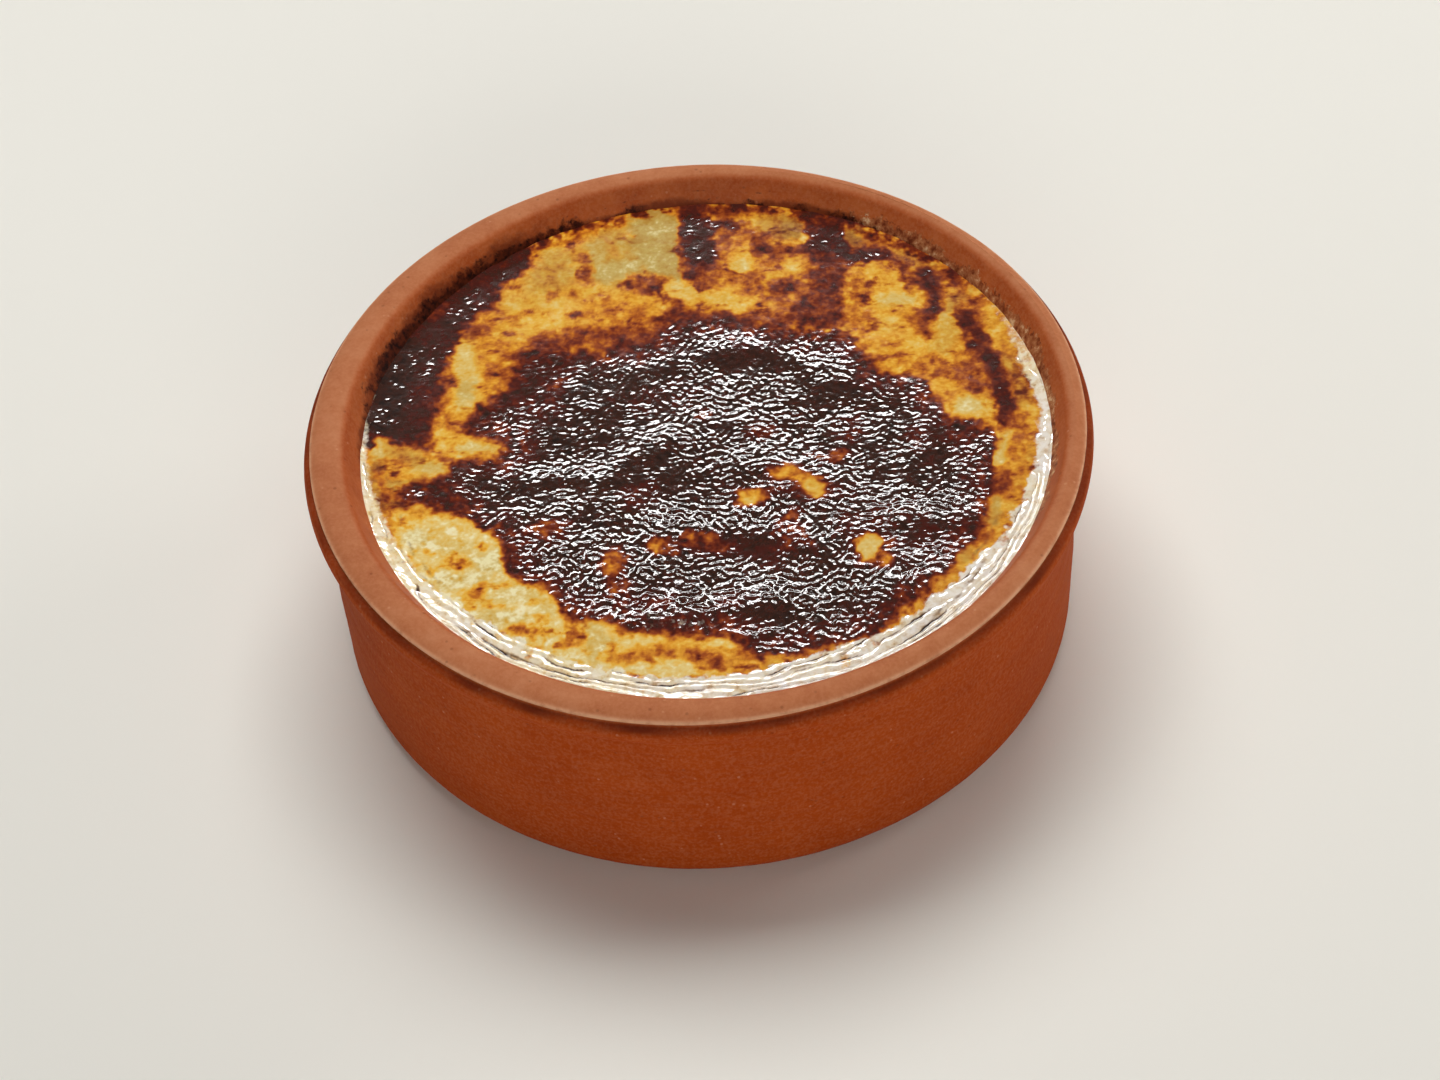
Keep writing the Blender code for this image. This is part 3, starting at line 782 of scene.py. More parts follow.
    # amber along the front
    paint(line((1.5, 1.7), (-14.4, -41.8), (-9.6, -42.2), (-6.0, -41.6)), 0.45, 1.2, 0.97, 0.9)
    paint(line((0.8, 0.9), (-12.8, -42.0), (-9.0, -42.6)), 0.47, 1.0, 0.8, 0.9)
    paint(line((1.6, 2.0), (-4.8, -42.0), (0.0, -43.4), (4.4, -43.4)), 0.45, 1.5, 0.95, 0.9)
    paint(line((1.0, 1.2), (-2.0, -45.2), (3.6, -45.2)), 0.45, 1.2, 0.8, 0.7)
    paint(line((0.9, 0.9), (0.6, -43.6), (0.8, -45.4)), 0.58, 1.0, 0.7, 0.7)
    paint(ell(-6.0, -40.2, 2.4, 0.8), 0.34, 1.2, 0.7, 0.4)
    paint(ell(0.2, -37.4, 2.2, 1.2), 0.50, 1.3, 0.8, 0.7)

    # -- brown streaks in the golds, and the dark line along the wall at the back
    streaky = layered(0.62 * x, 1.15 * y, 2.7, 150, 4, 0.6)
    golden = smooth(0.10, 0.24, b) * smooth(0.52, 0.42, b)
    b = b + (0.26 * smooth(0.10, 0.50, streaky) - 0.05 * smooth(0.0, -0.4, streaky)) * golden
    ox, oy = x - OPENING_SHIFT[0], y - OPENING_SHIFT[1]
    turned = np.degrees(np.arctan2(oy, ox))
    near_wall = smooth(49.8, 52.0, np.hypot(ox, oy) + 0.7 * ragged)
    patchy = smooth(-0.28, 0.22, layered(x, y, 2.4, 151, 3, 0.6))
    at_back = smooth(22.0, 44.0, turned) * smooth(178.0, 166.0, turned)
    b = mix(b, np.maximum(b, 0.76), near_wall * patchy * at_back * 0.92)
    hue = mix(hue, 0.6, near_wall * patchy * at_back)

    # -- the great scorch in the middle
    scorch = outline(wx, wy, CENTRE_SCORCH)
    centre = smooth(1.2, -1.2, scorch + 0.8 * ragged)
    paint(scorch - 0.4, 0.72, 1.3, 0.9, 0.5)
    paint(scorch + 3.2, 0.90, 3.0, 1.0)
    # thinner, redder places in it
    for cx, cy, rx, ry, turn, value in (
        (-41, -7, 4.6, 2.4, 0, 0.70), (-35, -10, 4.0, 1.8, -20, 0.72), (-24, -16.6, 4.4, 2.6, 0, 0.72), (-27, -21, 3, 3, 0, 0.76),
        (-24, 12, 3.4, 6.0, 0, 0.77), (-32, 7.4, 2.6, 1.8, 0, 0.72), (-9, -10, 3.6, 2.4, 20, 0.76), (10, 1, 2.4, 1.8, 0, 0.70),
        (23, 0, 2.0, 2.4, 0, 0.72), (-8, -32, 3.4, 1.6, 0, 0.72), (3, -32.6, 3.2, 2.0, 0, 0.76), (25, -18.5, 6, 2.8, 0, 0.76),
        (27, -25.4, 3.0, 2.6, 0, 0.70), (35, -3, 3, 4, 30, 0.78), (41, -3, 2.4, 2.0, 0, 0.74), (19, 19.5, 5, 2.6, 0, 0.74),
        (32, -23, 4.0, 2.2, 40, 0.80), (8, -24, 7.0, 3.0, -15, 0.81), (-18, 17.6, 3, 2, 0, 0.78), (20, -12, 3, 2, 0, 0.80),
        (14, -40.6, 8, 2.0, 0, 0.80), (-5, 10, 6, 3, 0, 0.82), (1.6, -37.2, 3.0, 1.6, 0, 0.66), (-13, -31.4, 3, 1.4, 0, 0.70),
    ):  # fmt: skip
        paint(ell(cx, cy, rx, ry, turn), value, 2.0, 0.85, 0.5)
    # what shows through it
    paint(ell(-23.4, -16.2, 2.6, 1.8), 0.55, 1.4, 0.9, 0.8)
    paint(ell(-21.0, 14.4, 1.5, 2.0), 0.58, 1.2, 0.9, 0.6)
    paint(ell(1.6, 5.4, 1.3, 1.2), 0.58, 1.1, 0.85, 0.5)
    paint(ell(7.4, -12.2, 3.0, 2.5), 0.62, 1.2, 0.8, 0.6)
    paint(ell(7.4, -12.2, 2.3, 1.7), 0.31, 1.1, 0.95, 0.2)
    paint(ell(7.0, -12.8, 0.9, 0.7), 0.22, 0.8, 0.8, 0.1)
    paint(line((3.0, 2.8), (12.6, -8.4), (16.8, -11.4)), 0.64, 1.3, 0.9, 0.6)
    paint(line((1.8, 1.5), (12.4, -7.8), (15.0, -8.6), (16.2, -9.8)), 0.38, 1.0, 0.97, 0.4)
    paint(ell(12.6, -7.6, 1.2, 0.9), 0.26, 0.8, 0.8, 0.2)
    paint(ell(17.0, -11.4, 1.8, 1.7), 0.26, 1.0, 0.95, 0.0)
    paint(ell(12.6, -10.8, 1.7, 0.9, 20), 0.78, 0.9, 0.85, 0.6)
    paint(ell(20.6, -5.0, 1.8, 1.5), 0.50, 1.2, 0.92, 0.6)
    paint(ell(18.0, -4.4, 1.6, 0.8), 0.64, 1.0, 0.8, 0.6)
    paint(line((2.0, 2.2), (13.2, -17.4), (12.8, -20.4)), 0.58, 1.3, 0.95, 0.8)
    paint(ell(13.4, -17.0, 0.9, 0.8), 0.42, 0.8, 0.85, 0.5)
    paint(ell(14.0, -22.4, 2.0, 1.2), 0.64, 1.2, 0.85, 0.6)
    paint(ell(-6.6, -20.8, 1.9, 2.0), 0.44, 1.1, 0.95, 0.5)
    paint(line((1.4, 1.1), (-2.6, -20.0), (1.4, -20.2)), 0.48, 1.0, 0.9, 0.7)
    paint(line((1.2, 1.0), (-4.6, -22.0), (3.0, -22.0)), 0.66, 1.1, 0.9, 0.7)
    paint(line((2.2, 1.9), (-13.8, -22.8), (-13.4, -25.4)), 0.46, 1.2, 0.95, 0.8)
    paint(ell(-13.2, -28.4, 2.1, 1.8), 0.52, 1.1, 0.92, 0.9)
    paint(ell(-13.0, -26.8, 0.9, 0.6), 0.70, 0.8, 0.8, 0.8)
    paint(ell(24.6, -24.6, 3.4, 3.6), 0.58, 1.5, 0.8, 0.6)
    paint(ell(24.0, -23.8, 1.9, 2.6, -8), 0.10, 1.0, 0.95, -0.1)
    paint(ell(26.0, -26.6, 1.4, 1.0), 0.44, 1.0, 0.8, 0.6)
    paint(ell(-24.0, -26.8, 1.4, 0.8), 0.52, 1.0, 0.8, 0.5)
    # its right edge: a bright yellow strip, then orange-brown
    paint(line((0.9, 1.2), (47.6, -3.0), (46.0, -5.8), (45.2, -8.8)), 0.14, 0.9, 0.95, -0.1)
    paint(line((1.2, 0.9), (48.8, 0.6), (48.6, -4.0), (47.2, -9.0)), 0.46, 1.0, 0.92, 0.8)
    paint(line((1.3, 1.0), (45.4, -10.4), (44.9, -15.6)), 0.54, 1.0, 0.92, 0.6)
    paint(line((1.0, 1.1), (44.0, -16.6), (42.6, -20.4)), 0.30, 1.0, 0.9, -0.4)
    paint(ell(41.6, -23.6, 1.2, 1.2), 0.60, 1.0, 0.8, 0.4)
    paint(ell(38.4, -27.0, 1.0, 1.6, -30), 0.28, 1.0, 0.8, -0.4)

    # how crinkled: the great scorch most, but smooth where a fold pulls it tight; golds hardly at all
    specks = smooth(0.18, 0.40, layered(x, y, 1.3, 212, 2) + 0.25 * noise(x, y, 6.0, 213))
    crimp = 0.03 + smooth(0.62, 0.84, b) * (0.02 + specks * 0.34)
    tight = np.zeros(x.shape)
    for cx, cy, rx, ry, turn in (
        (9.5, 15.4, 4.2, 2.4, -8), (-8, -5, 6.0, 2.6, 42), (-14, 6, 4, 2.4, 30), (21, 9.0, 3.0, 1.6, 0), (31, 5.4, 3.0, 1.0, 0), (0, 24.4, 4.6, 1.9, 0),
        (36, -9, 6.6, 2.3, 51), (6.4, -22.6, 8.4, 2.4, -12), (10, -26, 4, 2, 0), (31, -22.4, 4.0, 1.8, 40), (7.2, -36.4, 4.2, 1.8, -8),
        (-22, -8, 4.6, 1.3, 10), (-7, 14.6, 2.4, 1.0, 0), (-26, 2, 3.4, 1.2, 10),
        (0, -23, 5, 1.6, 0), (-12, -22, 2.4, 3, 0), (-24, 20, 3, 1.6, 0),
    ):  # fmt: skip
        tight = np.maximum(tight, smooth(2.4, -2.0, ell(cx, cy, rx, ry, turn) + 1.0 * ragged))
    loose = np.zeros(x.shape)
    for cx, cy, rx, ry, turn in (
        (3, -3, 6, 5, 0), (-15, -2.4, 8, 2.6, 20), (-4, -15, 8, 3.4, 0), (17, -15, 9, 2.8, 0), (39, -15.6, 4.6, 3, 15), (4, 8, 8, 3, 0), (-16, 6, 6, 4, 0), (-33, -5, 4, 2.4, 0),
    ):  # fmt: skip
        loose = np.maximum(loose, smooth(2.4, -2.4, ell(cx, cy, rx, ry, turn) + 0.6 * ragged))
    in_char = 0.54 + 0.40 * layered(x, y, 8.0, 210, 3) + 0.18 * loose + 0.20 * smooth(-8.0, -22.0, y)
    in_char = in_char * (1.0 - 0.14 * smooth(16.0, 28.0, x) * smooth(-16.0, -8.0, y) - 0.31 * smooth(6.0, -16.0, x) * smooth(-24.0, -12.0, y))
    # towards its edge the wrinkles are lower, and brown shows between them
    in_char = in_char * (0.50 + 0.50 * smooth(0.6, -4.6, scorch + 1.6 * ragged + 1.8 * noise(x, y, 5.0, 214)))
    in_char = mix(in_char, 0.36, 0.8 * tight) * (1.0 - 0.82 * smooth(0.70, 0.46, b))
    # the front lies less well to the light, and is crinkled more
    crimp = mix(crimp, np.clip(in_char, 0.12, 1.15) * (1.0 - 0.011 * y), centre)

    # the pale skin is blotched with cream
    creamy = smooth(0.8, -1.2, pale) * (1.0 - centre) * smooth(-9.0, -17.0, x)
    b = b - 0.18 * creamy * smooth(0.0, 0.5, layered(x, y, 2.8, 152, 3, 0.6)) + 0.13 * creamy * smooth(0.1, 0.5, layered(x, y, 1.6, 153, 3, 0.6))

    # mottling everywhere, stronger where it is between gold and brown
    between = smooth(0.18, 0.45, b) * smooth(0.88, 0.65, b)
    b = b + (0.12 + 0.10 * between) * layered(x, y, 3.8, 141, 3, 0.6) * smooth(0.98, 0.75, b)
    b = b + 0.22 * centre * between * (0.25 + layered(x, y, 1.3, 142, 2))
    b = b + (0.09 + 0.12 * between) * layered(x, y, 1.7, 140, 3, 0.6)
    return np.clip(b, 0.0, 1.0), np.clip(hue, -1.0, 1.0), crimp


# Folds: where the skin slid and set in low waves. Height, width of the far and near side, and the crest's line.
FOLDS = [
    (0.26, 3.6, 2.0, [(-9, -18.2), (4, -19.2), (13, -22.0), (19, -24.0)]),
    (0.28, 3.8, 2.0, [(-18, -36.5), (-2, -34.6), (12, -34.0)]),
    (0.18, 4.2, 2.4, [(6, -33.4), (16, -35.4), (24, -35.2), (33, -32.4)]),
    (0.24, 3.4, 2.2, [(29, -12.0), (33, -6.0), (38, -1.0)]),
    (0.24, 3.4, 2.0, [(25, -19.0), (34, -18.8), (42, -20.2)]),
    (0.20, 3.4, 2.0, [(1, 18.6), (10, 18.8), (18, 15.4)]),
    (0.22, 3.2, 2.0, [(-16, -7.0), (-9, -2.2), (-2, 1.6)]),
    (0.10, 3.0, 2.0, [(16, 12.6), (22, 11.6), (27, 10.2)]),
    (0.08, 3.0, 2.0, [(24, 7.6), (30, 7.4), (37, 6.6)]),
    (0.16, 3.0, 1.8, [(-31, -5.6), (-24, -6.0), (-17, -5.4)]),
    (0.20, 0.8, 0.7, [(2, -39.0), (6, -39.4), (11, -38.8)]),
    (0.07, 3.0, 2.0, [(-12, 16.6), (-5, 16.8), (0, 15.8)]),
    (0.18, 3.0, 2.0, [(2, -6.5), (9, -5.6), (18, -8.4)]),
]


def fold_height(x, y, high, far, near, points):
    """A low wave whose near side is steeper, fading out at both ends."""
    px, py = np.array(points, float).T
    tilt = math.cos(math.atan2(py[-1] - py[0], px[-1] - px[0]))
    s = (y + 0.9 * noise(x, y, 6.0, 242) - np.interp(x, px, py)) * tilt
    ends = smooth(px[0] - 2.0, px[0] + 3.0, x) * smooth(px[-1] + 2.0, px[-1] - 3.0, x)
    return high * np.exp(-((s / np.where(s > 0, far, near)) ** 2)) * ends


# The milky film: angle from +X, how far it reaches from the wall in mm, how strong it is, how creamy.
FILM_REACH = [
    (-180, 1.5, 0.70, 0.7), (-170, 2.2, 0.72, 0.9), (-162, 3.2, 0.66, 1.0), (-154, 3.6, 0.70, 1.0), (-148, 3.8, 0.90, 0.8),
    (-140, 4.4, 1.0, 0.5), (-128, 5.0, 1.0, 0.6), (-120, 4.8, 1.0, 0.9), (-112, 4.8, 1.0, 0.8), (-100, 5.0, 1.0, 0.4),
    (-90, 5.2, 1.0, 0.3), (-80, 5.8, 1.0, 0.2), (-70, 5.8, 1.0, 0.3), (-60, 5.2, 1.0, 0.3), (-50, 5.2, 1.0, 0.2),
    (-42, 5.0, 1.0, 0.2), (-34, 4.4, 1.0, 0.3), (-26, 3.8, 0.95, 0.4), (-18, 3.2, 0.90, 0.4), (-12, 2.8, 0.85, 0.2),
    (-6, 2.4, 0.90, 0.1), (0, 2.1, 0.85, 0.2), (6, 2.1, 0.80, 0.3), (12, 3.0, 0.60, 0.8), (20, 1.8, 0.45, 0.8),
    (32, 1.0, 0.25, 0.8), (40, 0.3, 0.0, 0.8), (150, 0.3, 0.0, 0.6), (168, 0.8, 0.35, 0.6), (180, 1.5, 0.70, 0.7),
]  # fmt: skip
# Wider gaps in it, where tan skin shows: half width, depth, and their line.
GAPS = [
    (0.42, 0.50, [(6, -48.4), (10, -47.3), (15, -45.6), (20, -44.1), (25, -42.2), (28, -40.8)]),
    (0.45, 0.40, [(-45.6, -10), (-44.6, -15), (-43.2, -19), (-41, -22.8), (-38.6, -26.2)]),
    (0.35, 0.35, [(-47.2, -12.6), (-45.8, -16.6), (-44.0, -20.4), (-42, -23.6), (-39.4, -27.4)]),
    (0.55, 0.40, [(44.6, -16.4), (43.4, -20.4), (41.6, -24.0), (38.6, -28.2)]),
    (0.45, 0.62, [(-37.0, -33.2), (-34.0, -36.4), (-30.2, -39.6), (-25.6, -42.6), (-20.0, -45.2), (-14.0, -47.2)]),
    (0.40, 0.55, [(30.0, -41.0), (34.4, -37.0), (38.4, -32.4), (41.4, -27.6)]),
]


def milky_film(x, y, inward):
    """The whitish film along the wall: how much it covers, how creamy it is, its long strands, and the gaps between them."""
    ox, oy = x - OPENING_SHIFT[0], y - OPENING_SHIFT[1]
    deg = np.degrees(np.arctan2(oy, ox))
    at, reach, strength, creamy = np.array(FILM_REACH, float).T
    reach = np.interp(deg, at, reach)
    over = reach - inward + 1.5 * layered(x, y, 3.0, 61, 4, 0.65) * smooth(0.5, 3.0, reach)
    film = smooth(-0.9, 0.9, over) * np.interp(deg, at, strength)
    # it is thin in patches
    film = film * (1.0 - 0.55 * smooth(0.05, 0.50, layered(x, y, 4.2, 64, 3, 0.6)) * smooth(1.0, 2.2, inward))
    cream = np.clip(np.interp(deg, at, creamy) + 0.5 * layered(x, y, 4.0, 63, 2), 0.0, 1.0)
    # a thin veil of it on the scorch's near left part
    for cx, cy, rx, ry, turn, share in ((-12, -33.8, 7, 1.6, -8, 0.24), (-4, -36.8, 7, 1.4, -4, 0.30)):
        veil = blot(x, y, cx, cy, rx, ry, turn) + 1.1 * layered(x, y, 2.6, 62, 3, 0.6)
        film = np.maximum(film, share * smooth(1.6, -1.6, veil))
    # strands laid along the wall, with thin dark gaps
    round_it = np.arctan2(ox, -oy) * 51.0
    phase = inward / 1.2 + 0.95 * noise(round_it / 13.0, inward / 4.0, 1.0, 227) + 0.42 * noise(round_it / 4.6, inward / 2.2, 1.0, 228)
    phase = phase + 0.12 * noise(round_it / 1.4, inward / 1.3, 1.0, 229)
    by_wall = smooth(-0.6, 0.8, over) * smooth(9.0, 7.5, inward)
    strand = (0.5 - 0.5 * np.cos(2 * np.pi * phase)) * by_wall
    there = smooth(-0.30, 0.30, noise(round_it / 7.0, np.round(phase) * 3.7, 1.0, 230) + 0.10)
    gap = smooth(0.45, 0.97, np.cos(2 * np.pi * phase)) * there * by_wall * smooth(0.1, 0.5, film)
    gap = gap * np.clip(0.75 + 0.5 * noise(round_it / 9.0, inward, 1.0, 231), 0.35, 1.0)
    gap = gap * np.interp(deg, (-180, -142, -132, -104, -92, -40, -20, 180), (0.60, 0.75, 1.0, 1.0, 0.85, 0.90, 0.65, 0.50))
    wx = x + 0.30 * noise(x, y, 3.0, 221) + 0.12 * noise(x, y, 1.0, 224)
    wy = y + 0.30 * noise(x, y, 3.0, 222) + 0.12 * noise(x, y, 1.0, 225)
    for half, deep, points in GAPS:
        d, t = along(wx, wy, points)
        broken = np.clip(0.75 + 1.1 * noise(x, y, 4.0, 226), 0.0, 1.0) * smooth(0.0, 0.08, t) * smooth(1.0, 0.92, t)
        gap = np.maximum(gap, deep * broken * np.exp(-((d / half) ** 2)))
    return film, cream, strand, gap * smooth(0.1, 0.5, inward)


def rice_under(x, y):
    """Low, long humps where grains of rice lie just under the skin."""
    rng = np.random.default_rng(11)
    total = np.zeros(x.shape)
    count = 520
    for _ in range(count):
        a = rng.uniform(0, 2 * np.pi)
        r = 50.0 * math.sqrt(rng.uniform())
        cx, cy, turn = r * math.cos(a), r * math.sin(a), rng.uniform(0, np.pi)
        long, wide, high = rng.uniform(2.0, 3.1), rng.uniform(0.85, 1.2), rng.uniform(0.3, 1.0)
        near = (np.abs(x - cx) < 4.5) & (np.abs(y - cy) < 4.5)
        u = (x[near] - cx) * math.cos(turn) + (y[near] - cy) * math.sin(turn)
        v = -(x[near] - cx) * math.sin(turn) + (y[near] - cy) * math.cos(turn)
        total[near] = np.maximum(total[near], high * np.exp(-((u / long) ** 2) * 1.6 - (v / wide) ** 2 * 1.2))
    return total


def browned_skin():
    """Cooked milk skin: pale gold to amber, red-brown and char, moist and glossy."""
    t = Tree("browned_skin")
    brown, hue, crimp = t.field("brown"), t.field("hue"), t.field("crimp")
    film, cream, furrow = t.field("film"), t.field("cream"), t.field("furrow")
    wrinkle = t.noise(0.60, 0.0, 0.5, t.stretched(1.0, 1.1, 1.0), 0.35)
    speck = t.math("SUBTRACT", t.noise(1.1, 3.0, 0.6), 0.5)
    value = t.math("ADD", brown, t.math("MULTIPLY", speck, 0.26))
    # the bump's ridges are painted lighter and its hollows darker: painted sheen and painted shade, which also mottle
    # the golds finely
    value = t.math("ADD", value, t.math("MULTIPLY", t.math("SUBTRACT", wrinkle, 0.5), -0.13))
    warm = t.ramp(
        value,
        [
            (0.00, srgb(253, 240, 192)),
            (0.12, srgb(244, 213, 130)),
            (0.25, srgb(243, 188, 66)),
            (0.34, srgb(234, 161, 38)),
            (0.45, srgb(204, 116, 26)),
            (0.55, srgb(162, 74, 20)),
            (0.65, srgb(118, 42, 16)),
            (0.76, srgb(78, 24, 15)),
            (0.88, srgb(62, 32, 22)),
            (1.00, srgb(34, 22, 17)),
        ],
    )
    cool = t.ramp(
        value,
        [
            (0.00, srgb(244, 232, 172)),
            (0.12, srgb(204, 174, 94)),
            (0.25, srgb(190, 146, 62)),
            (0.34, srgb(184, 132, 54)),
            (0.45, srgb(158, 100, 38)),
            (0.55, srgb(128, 70, 28)),
            (0.65, srgb(98, 46, 20)),
            (0.76, srgb(72, 32, 16)),
            (0.88, srgb(40, 22, 15)),
            (1.00, srgb(15, 11, 10)),
        ],
    )
    colour = t.blend(t.fit(hue, -0.8, 0.4), cool, warm)
    # the film by the wall is milky
    cloud = t.noise(1.3, 3.0, 0.6)
    white = t.ramp(cloud, [(0.28, srgb(200, 172, 140)), (0.40, srgb(234, 222, 202)), (0.56, srgb(251, 247, 240))])
    yellow = t.ramp(cloud, [(0.28, srgb(204, 158, 92)), (0.40, srgb(242, 216, 144)), (0.56, srgb(252, 240, 194))])
    milk = t.blend(t.math("MULTIPLY", cream, 0.8), white, yellow)
    cover = t.fit(t.math("ADD", film, t.math("MULTIPLY", t.math("SUBTRACT", t.noise(1.0, 3.0, 0.6), 0.5), 0.9)), 0.25, 0.7)
    cover = t.math("MULTIPLY", cover, t.fit(film, 0.02, 0.25))
    colour = t.blend(t.math("MULTIPLY", cover, 0.94), colour, milk)
    # and the tan skin below shows in its furrows
    sunk = t.fit(t.math("ADD", furrow, t.math("MULTIPLY", t.math("SUBTRACT", t.noise(0.8, 2.0, 0.6), 0.5), 0.6)), 0.15, 0.75)
    colour = t.blend(t.math("MULTIPLY", sunk, t.fit(furrow, 0.02, 0.2)), colour, t.ramp(furrow, [(0.3, srgb(152, 106, 60)), (0.75, srgb(50, 29, 20))]))
    t.put(t.shader.inputs["Base Color"], colour)
    t.put(t.shader.inputs["Roughness"], t.fit(t.noise(1.6, 2.0, 0.6), 0.3, 0.7, 0.10, 0.13))
    t.shader.inputs["Specular IOR Level"].default_value = 0.8
    t.put(t.shader.inputs["Normal"], t.bump(wrinkle, 0.14, t.math("MINIMUM", t.math("MULTIPLY", crimp, 0.7), 0.42)))
    return t.material


def make_pudding():
    """The set pudding: a fine skin over a closed body that reaches just into the wall."""
    n = SKIN_CELLS
    g = np.linspace(-1.0, 1.0, n + 1)
    a, b = np.meshgrid(g, g, indexing="ij")
    wide = np.abs(a) > np.abs(b)
    safe_a, safe_b = np.where(a == 0, 1e-9, a), np.where(b == 0, 1e-9, b)
    radius = np.where(wide, a, b)
    turn = np.where(wide, np.pi / 4 * b / safe_a, np.pi / 2 - np.pi / 4 * a / safe_b)
    ux, uy = radius * np.cos(turn), radius * np.sin(turn)
    share = np.hypot(ux, uy)
    angle = np.arctan2(uy, ux)

    top = LEVEL + 0.55
    edge = wall_radius(top) + inner_wander(angle) + 0.12
    # a little finer towards the wall
    r = edge * (1.10 * share - 0.10 * share**5)
    x, y = r * np.cos(angle), r * np.sin(angle)  # about the opening's own centre
    px, py = x + OPENING_SHIFT[0], y + OPENING_SHIFT[1]  # about the dish's

    brown, hue, crimp = browning(px, py)
    inward = edge - r
    film, cream, strand, furrow = milky_film(px, py, inward)
    crimp = crimp * (1.0 - 0.7 * film) + 0.14 * film

    low = (
        0.45 * np.sin(x / 9.0 + 0.8) * np.cos(y / 11.0 - 0.4)
        + 0.35 * np.sin((x + y) / 6.5 + 2.1)
        + 0.20 * np.cos((x - 1.7 * y) / 5.0)
    )
    inside = 1.0 - share**8
    flatter = (1.0 - 0.65 * smooth(18.0, 36.0, py)) * (1.0 - 0.55 * smooth(-27.0, -37.0, px) * smooth(-6.0, 5.0, py))
    z = LEVEL + 0.20 * low * inside * flatter
    z = z + (0.05 + 0.12 * np.minimum(crimp, 1.0)) * layered(px, py, 7.0, 201, 3) * inside * flatter
    z = z + (0.03 + 0.06 * crimp) * rice_under(px, py) * inside
    for fold in FOLDS:
        z = z + fold_height(px, py, *fold) * inside
    # the scorched skin's wrinkles: short worms, lying mostly across the view
    sx = px + 0.8 * noise(px, py, 3.0, 205)
    sy = py + 0.8 * noise(px, py, 3.0, 206)
    # their far sides are long and low, their near sides short and steep
    lean_over = worms(sx, sy, 1.20, 208)
    crinkle = worms(sx, sy + 0.13 * lean_over, 1.20, 208) + 0.4 * noise(sx, sy, 2.2, 211)
    z = z + 0.087 * crimp * crinkle * smooth(0.0, 1.2, inward)
    # the skin climbs unevenly where it meets the wall, and its film lies in strands along it
    climb = 0.16 + 0.16 * noise(np.cos(angle) * 52.0, np.sin(angle) * 52.0, 3.4, 240) + 0.22 * film
    z = z + climb * np.exp(-np.maximum(inward, 0.0) / 1.1)
    beads = noise(px, py, 1.3, 241)
    full = np.clip(0.65 + 0.7 * noise(px, py, 4.4, 243), 0.15, 1.1)
    z = z + film * strand * (0.15 * full + 0.05 * beads) * smooth(0.0, 0.6, inward)
    z = z - 0.10 * furrow * smooth(0.0, 0.5, inward)

    # two halves that meet on the line across the middle, each with its share of the sides and the bottom
    fields = {"brown": brown, "hue": hue, "film": film, "cream": cream, "furrow": furrow, "crimp": crimp}
    material = browned_skin()
    half = n // 2
    parts = []
    for name, rows, low_side in (("pudding_front", slice(0, half + 1), True), ("pudding_back", slice(half, n + 1), False)):
        grid = [v[:, rows] for v in (px, py, z)]
        across, deep = grid[0].shape
        index = np.arange(across * deep).reshape(across, deep)
        quads = np.stack([index[:-1, :-1], index[1:, :-1], index[1:, 1:], index[:-1, 1:]], -1).reshape(-1, 4)
        faces = [tuple(q) for q in quads.tolist()]
        if low_side:
            rim = np.concatenate([index[0, ::-1], index[1:, 0], index[-1, 1:]])
        else:
            rim = np.concatenate([index[-1, :], index[::-1, -1][1:], index[0, ::-1][1:]])
        rim_angle = angle[:, rows].ravel()[rim]
        k = len(rim)
        sides = [
            (wall_radius(LEVEL - 0.8) + 0.05, LEVEL - 0.8),
            (wall_radius(LEVEL - 2.5) - 0.15, LEVEL - 2.5),
            (51.2, 18.0),
            (50.4, 12.0),
            (46.8, 7.2),
            (41.0, 5.8),
        ]
        loops, extra, base = [list(rim)], [], across * deep
        for radius_here, height in sides:
            rr = radius_here + inner_wander(rim_angle)
            extra.append(
                np.stack(
                    [OPENING_SHIFT[0] + rr * np.cos(rim_angle), OPENING_SHIFT[1] + rr * np.sin(rim_angle), np.full(k, height)], 1
                )
            )
            loops.append(list(range(base, base + k)))
            base += k
        extra.append(np.array([[OPENING_SHIFT[0], OPENING_SHIFT[1], 5.8]]))
        for upper, lower in zip(loops, loops[1:]):
            for i in range(k - 1):
                faces.append((upper[i + 1], upper[i], lower[i], lower[i + 1]))
        for i in range(k - 1):
            faces.append((loops[-1][i + 1], loops[-1][i], base))
        verts = np.vstack([np.stack([v.ravel() for v in grid], 1), *extra])
        pad = len(verts) - across * deep
        own = {key: np.concatenate([v[:, rows].ravel(), np.full(pad, 0.2 if key == "brown" else 0.0)]) for key, v in fields.items()}
        parts.append(make_object(name, verts, faces, own, material, "pudding"))
    return parts


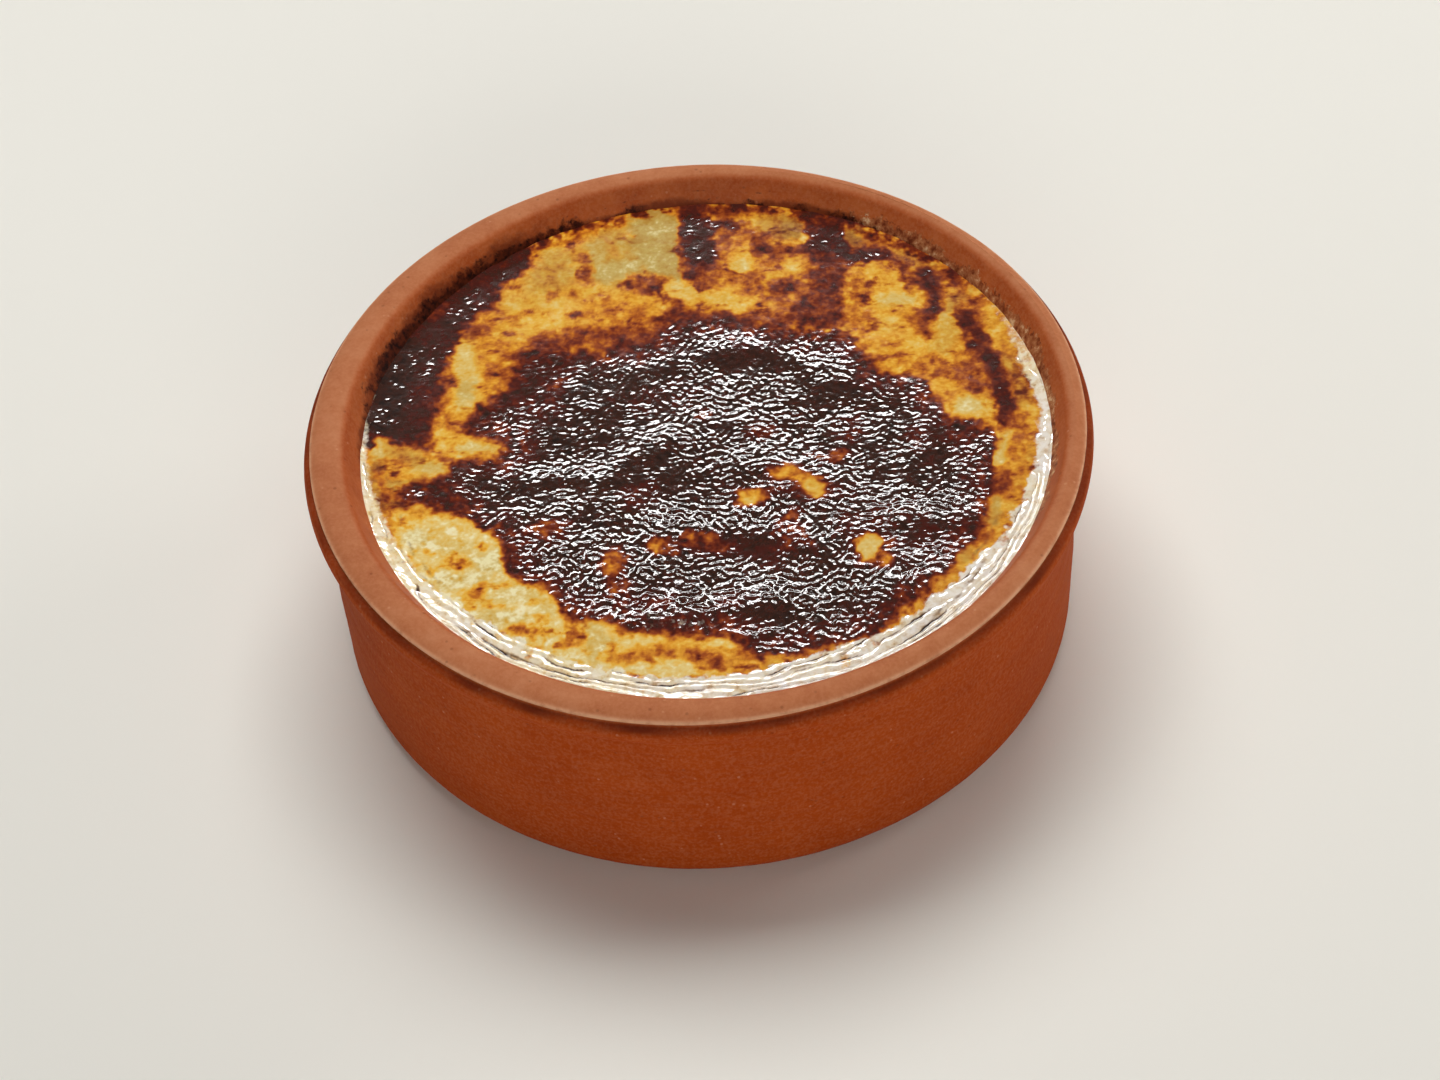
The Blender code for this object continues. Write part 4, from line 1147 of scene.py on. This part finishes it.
# ---------------------------------------------------------------- floor, world and lights
def make_floor():
    """A plain pale floor."""
    mesh = bpy.data.meshes.new("floor")
    s = 4.0
    mesh.from_pydata([(-s, -s, 0), (s, -s, 0), (s, s, 0), (-s, s, 0)], [], [(0, 1, 2, 3)])
    floor = bpy.data.objects.new("floor", mesh)
    scene.collection.objects.link(floor)
    t = Tree("pale_floor")
    shade = t.noise(600.0, 2.0)
    t.put(t.shader.inputs["Base Color"], t.ramp(shade, [(0.3, (0.88, 0.86, 0.79, 1)), (0.7, (0.91, 0.89, 0.82, 1))]))
    t.shader.inputs["Roughness"].default_value = 0.9
    t.shader.inputs["Specular IOR Level"].default_value = 0.0
    mesh.materials.append(t.material)
    floor.location.z = -0.00005


def softbox(name, place, target, width, height, power, colour=(1.0, 1.0, 1.0), lights=True, shines=True):
    """A rectangular lamp; one that doesn't light only shows as a reflection, and one that doesn't shine shows in none."""
    data = bpy.data.lights.new(name, "AREA")
    data.shape = "RECTANGLE"
    data.size, data.size_y = width, height
    data.energy = power
    data.color = colour
    light = bpy.data.objects.new(name, data)
    light.location = place
    light.rotation_euler = (Vector(target) - Vector(place)).to_track_quat("-Z", "Y").to_euler()
    light.visible_diffuse = lights
    light.visible_glossy = shines
    scene.collection.objects.link(light)


def make_lights():
    """A dim white room, a soft lamp above, a window low at the back that gives the gloss, and a weak front fill."""
    world = bpy.data.worlds.new("studio")
    scene.world = world
    world.use_nodes = True
    world.node_tree.nodes["Background"].inputs["Color"].default_value = (1.0, 0.99, 0.97, 1.0)
    world.node_tree.nodes["Background"].inputs["Strength"].default_value = 0.06
    softbox("lamp_above", (-0.05, 0.45, 1.00), (0, 0, 0.02), 0.9, 0.7, 10.0, shines=False)
    softbox("window_behind", (0.03, 1.00, 0.667), (0.03, 0.0, 0.667), 1.7, 0.135, 20.0, lights=False)
    # these only gleam, in the views from the other sides and from above
    softbox("gleam_front", (0.0, -0.46, 1.00), (0, 0, 0.03), 0.5, 0.35, 4.4, lights=False)
    softbox("gleam_left", (-0.75, -0.10, 0.85), (0, 0, 0.03), 0.4, 0.4, 4.0, lights=False)
    softbox("gleam_right", (0.75, 0.10, 0.85), (0, 0, 0.03), 0.4, 0.4, 4.0, lights=False)
    softbox("window_right", (0.85, 0.40, 0.30), (0, 0, 0.03), 0.35, 0.35, 2.0, (1.0, 0.99, 0.97))
    softbox("front_fill", (0.1, -1.35, 0.60), (0, 0, 0.02), 1.0, 0.6, 6.4, (1.0, 0.97, 0.93))


make_camera()
make_floor()
make_lights()
make_dish()
make_pudding()
scene.view_settings.view_transform = "Standard"
scene.view_settings.look = "None"
